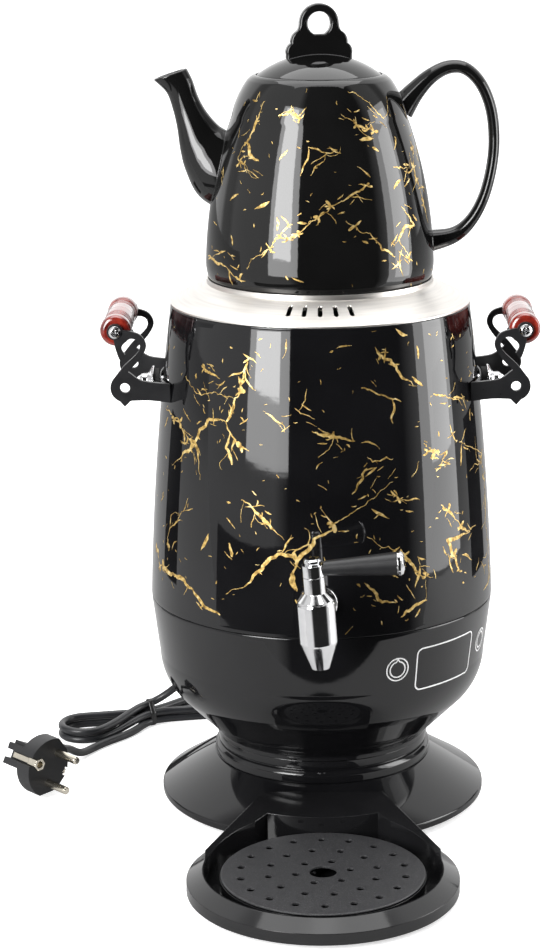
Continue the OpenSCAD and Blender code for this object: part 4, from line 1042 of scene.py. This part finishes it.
def make_teapot_lid():
    dome = arc((LID_R - 0.7, POT_TOP_Z + 0.2), (0.2, DOME_TOP_Z), 3, 40)
    outline = [(0, DOME_TOP_Z)] + dome[::-1] + [
        (LID_R, POT_TOP_Z - 0.4), (LID_R, POT_TOP_Z - 2), (LID_R - 0.4, POT_TOP_Z - 2.3),
        (30.4, POT_TOP_Z - 2.3), (30.4, POT_TOP_Z - 10.6), (30, POT_TOP_Z - 11), (28, POT_TOP_Z - 11),
        (27.6, POT_TOP_Z - 10.6), (27.6, POT_TOP_Z - 2.3), (26, POT_TOP_Z + 0.3), (10, POT_TOP_Z + 7.2),
        (0, POT_TOP_Z + 7.6)]
    mesh = lathe_mesh("teapot_lid", outline, closed=False, sharp_angle=50)
    add_mesh(mesh, knob_mesh())
    placed("teapot_lid", mesh, "teapot_lid", glaze, ["teapot_lid"])


make_teapot()
make_teapot_lid()

# ---- Side grips: turned wood between the brackets ----

GRIP_X, GRIP_Z, GRIP_HALF, GRIP_R = 118, 294.1, 33.7, 9


def grip_side():
    """Half of the grip's outline, from its end to its middle, as (radius, distance from the middle)."""
    bead = 11
    barrel = GRIP_R - 0.5
    side = [(2.1, GRIP_HALF), (GRIP_R - 2.4, GRIP_HALF), (GRIP_R - 0.8, GRIP_HALF - 0.8),
            (GRIP_R, GRIP_HALF - 2.6), (GRIP_R, GRIP_HALF - bead + 3), (GRIP_R - 0.6, GRIP_HALF - bead + 1),
            (GRIP_R - 1.7, GRIP_HALF - bead), (GRIP_R - 1.7, GRIP_HALF - bead - 1.4),
            (barrel - 0.3, GRIP_HALF - bead - 2)]
    for i in range(3):
        at = GRIP_HALF - bead - 3 - 2.4 * i
        side += [(barrel, at), (barrel, at - 1.2), (barrel - 0.6, at - 1.8)]
    return side + [(barrel, GRIP_HALF - bead - 10.6), (barrel, 4), (barrel + 0.1, 0)]


def make_grips():
    half = grip_side()
    outline = rounded(half + [(r, -y) for r, y in reversed(half[:-1])], 0.5, 3)
    for name, side in (("left", -1), ("right", 1)):
        mesh = lathe_mesh("grip_" + name, outline + [outline[0]], 96, closed=False, sharp_angle=50)
        middle = Matrix.Translation((side * GRIP_X * MM, 0, GRIP_Z * MM))
        mesh.transform(middle @ Matrix.Rotation(math.pi / 2, 4, "X"))
        placed("grip_" + name, mesh, "boiler", wood, ["handle_grip_" + name])


make_grips()

# ---- Floor, light and background ----


def stage_panel(name, corners, material):
    mesh = bpy.data.meshes.new(name)
    mesh.from_pydata(corners, [], [(0, 1, 2, 3)])
    mesh.materials.append(material)
    panel = in_scene(name, mesh)
    return panel


def make_floor():
    """White paper that ends a little way in front of the tray, so that the front reflects a dark room."""
    half, front, back = 6, -0.26, 9
    corners = [(-half, front, 0), (half, front, 0), (half, back, 0), (-half, back, 0)]
    paper = Finish("paper", (0.94, 0.94, 0.94), 0.8, Emission_Color=(1, 1, 1, 1), Emission_Strength=0.6)
    paper.bump(paper.noise(300, 2), 0.00002)
    shaded = paper.add("BsdfDiffuse", {"Color": (0.5, 0.5, 0.5, 1)})
    path = paper.add("LightPath").outputs["Is Camera Ray"]
    shaders = {0: path, 1: shaded.outputs["BSDF"], 2: paper.shader.outputs["BSDF"]}
    mix = paper.add("MixShader", shaders)
    paper.tree.links.new(mix.outputs["Shader"], paper.tree.nodes["Material Output"].inputs["Surface"])
    stage_panel("floor", corners, paper.material)


def flag(name, azimuth, distance, width, low, high):
    """A black panel beside the set, between two heights, that only reflections see."""
    turn = math.radians(azimuth)
    out = Vector((math.sin(turn) * distance, -math.cos(turn) * distance, low))
    across = Vector((math.cos(turn), math.sin(turn), 0)) * width / 2
    up = Vector((0, 0, high - low))
    corners = [out - across, out + across, out + across + up, out - across + up]
    panel = stage_panel(name, corners, satin)
    panel.visible_camera = False
    panel.visible_diffuse = False
    panel.visible_shadow = False


def area_light(name, place, turn, width, height, radiance):
    data = bpy.data.lights.new(name, "AREA")
    data.shape = "RECTANGLE"
    data.size, data.size_y = width, height
    data.energy = radiance * math.pi * width * height
    light = in_scene(name, data)
    light.location = place
    light.rotation_euler = turn
    light.visible_camera = False


AIM = Vector((0, 0, 0.25))


def softbox(name, azimuth, distance, low, high, width, radiance):
    """A soft light at an azimuth from the camera's side, positive to the right, between two elevations."""
    turn = math.radians(azimuth)
    bottom, top = distance * math.tan(math.radians(low)), distance * math.tan(math.radians(high))
    place = AIM + Vector((distance * math.sin(turn), -distance * math.cos(turn), (bottom + top) / 2))
    area_light(name, place, (math.pi / 2, 0, turn), width, top - bottom, radiance)


# Brightness of the room by azimuth in degrees from the camera's side, positive to the right
ROOM = [(-180, 1.3), (-124, 1.2), (-118, 0.45), (-106, 0.45), (-100, 0.8), (-32, 0.85), (-22, 0.02),
        (60, 0.02), (72, 0.75), (100, 0.75), (106, 0.35), (114, 0.35), (122, 1.3), (180, 1.3)]


def make_background():
    """White to the camera; to reflections a pale room, dark behind the camera."""
    world = bpy.data.worlds.new("studio")
    bpy.context.scene.world = world
    world.use_nodes = True
    tree = world.node_tree
    place = add_node(tree, "TexCoord").outputs["Generated"]
    split = add_node(tree, "SeparateXYZ", {"Vector": place}).outputs
    front = add_node(tree, "Math", {0: split["Y"], 1: -1}, operation="MULTIPLY").outputs[0]
    azimuth = add_node(tree, "Math", {0: split["X"], 1: front}, operation="ARCTAN2").outputs[0]
    whole_turn = {"Value": azimuth, "From Min": -math.pi, "From Max": math.pi}
    spread = add_node(tree, "MapRange", whole_turn).outputs["Result"]
    ramp = add_node(tree, "ValToRGB", {"Fac": spread})
    set_stops(ramp, [((angle + 180) / 360, (bright,) * 3) for angle, bright in ROOM])
    room = add_node(tree, "Background", {"Color": ramp.outputs["Color"]})
    white = tree.nodes["Background"]
    white.inputs["Color"].default_value = (1, 1, 1, 1)
    path = add_node(tree, "LightPath").outputs["Is Camera Ray"]
    mix = add_node(tree, "MixShader", {0: path, 1: room.outputs[0], 2: white.outputs[0]})
    tree.links.new(mix.outputs["Shader"], tree.nodes["World Output"].inputs["Surface"])
    bpy.context.scene.view_settings.view_transform = "Standard"


# Azimuths are in degrees from the camera's side, positive to the right, and lengths in metres.
# Name, azimuth, distance, lowest and highest elevation, width, radiance
SOFTBOXES = [
    ("left_outer", -37, 2.4, -5, 38, 1.3, 6),
    ("left_inner", -38, 2.3, 0, 36, 0.75, 9),
    ("right_outer", 86, 0.8, -17, 34, 0.46, 3.6),
    ("right_inner", 88, 0.76, -8, 30, 0.26, 3.4),
]
# Name, azimuth, distance, width, height of the lower and of the upper edge
FLAGS = [
    ("flag_left", -112, 0.45, 0.14, 0.05, 0.19),
    ("flag_right", 121, 0.45, 0.17, 0.05, 0.19),
    ("flag_front", -43, 0.6, 0.58, 0, 0.1),
]

make_floor()
make_background()
for values in SOFTBOXES:
    softbox(*values)
area_light("ceiling", (0, 0.3, 2.6), (0, 0, 0), 2.4, 2.4, 2.5)
for values in FLAGS:
    flag(*values)
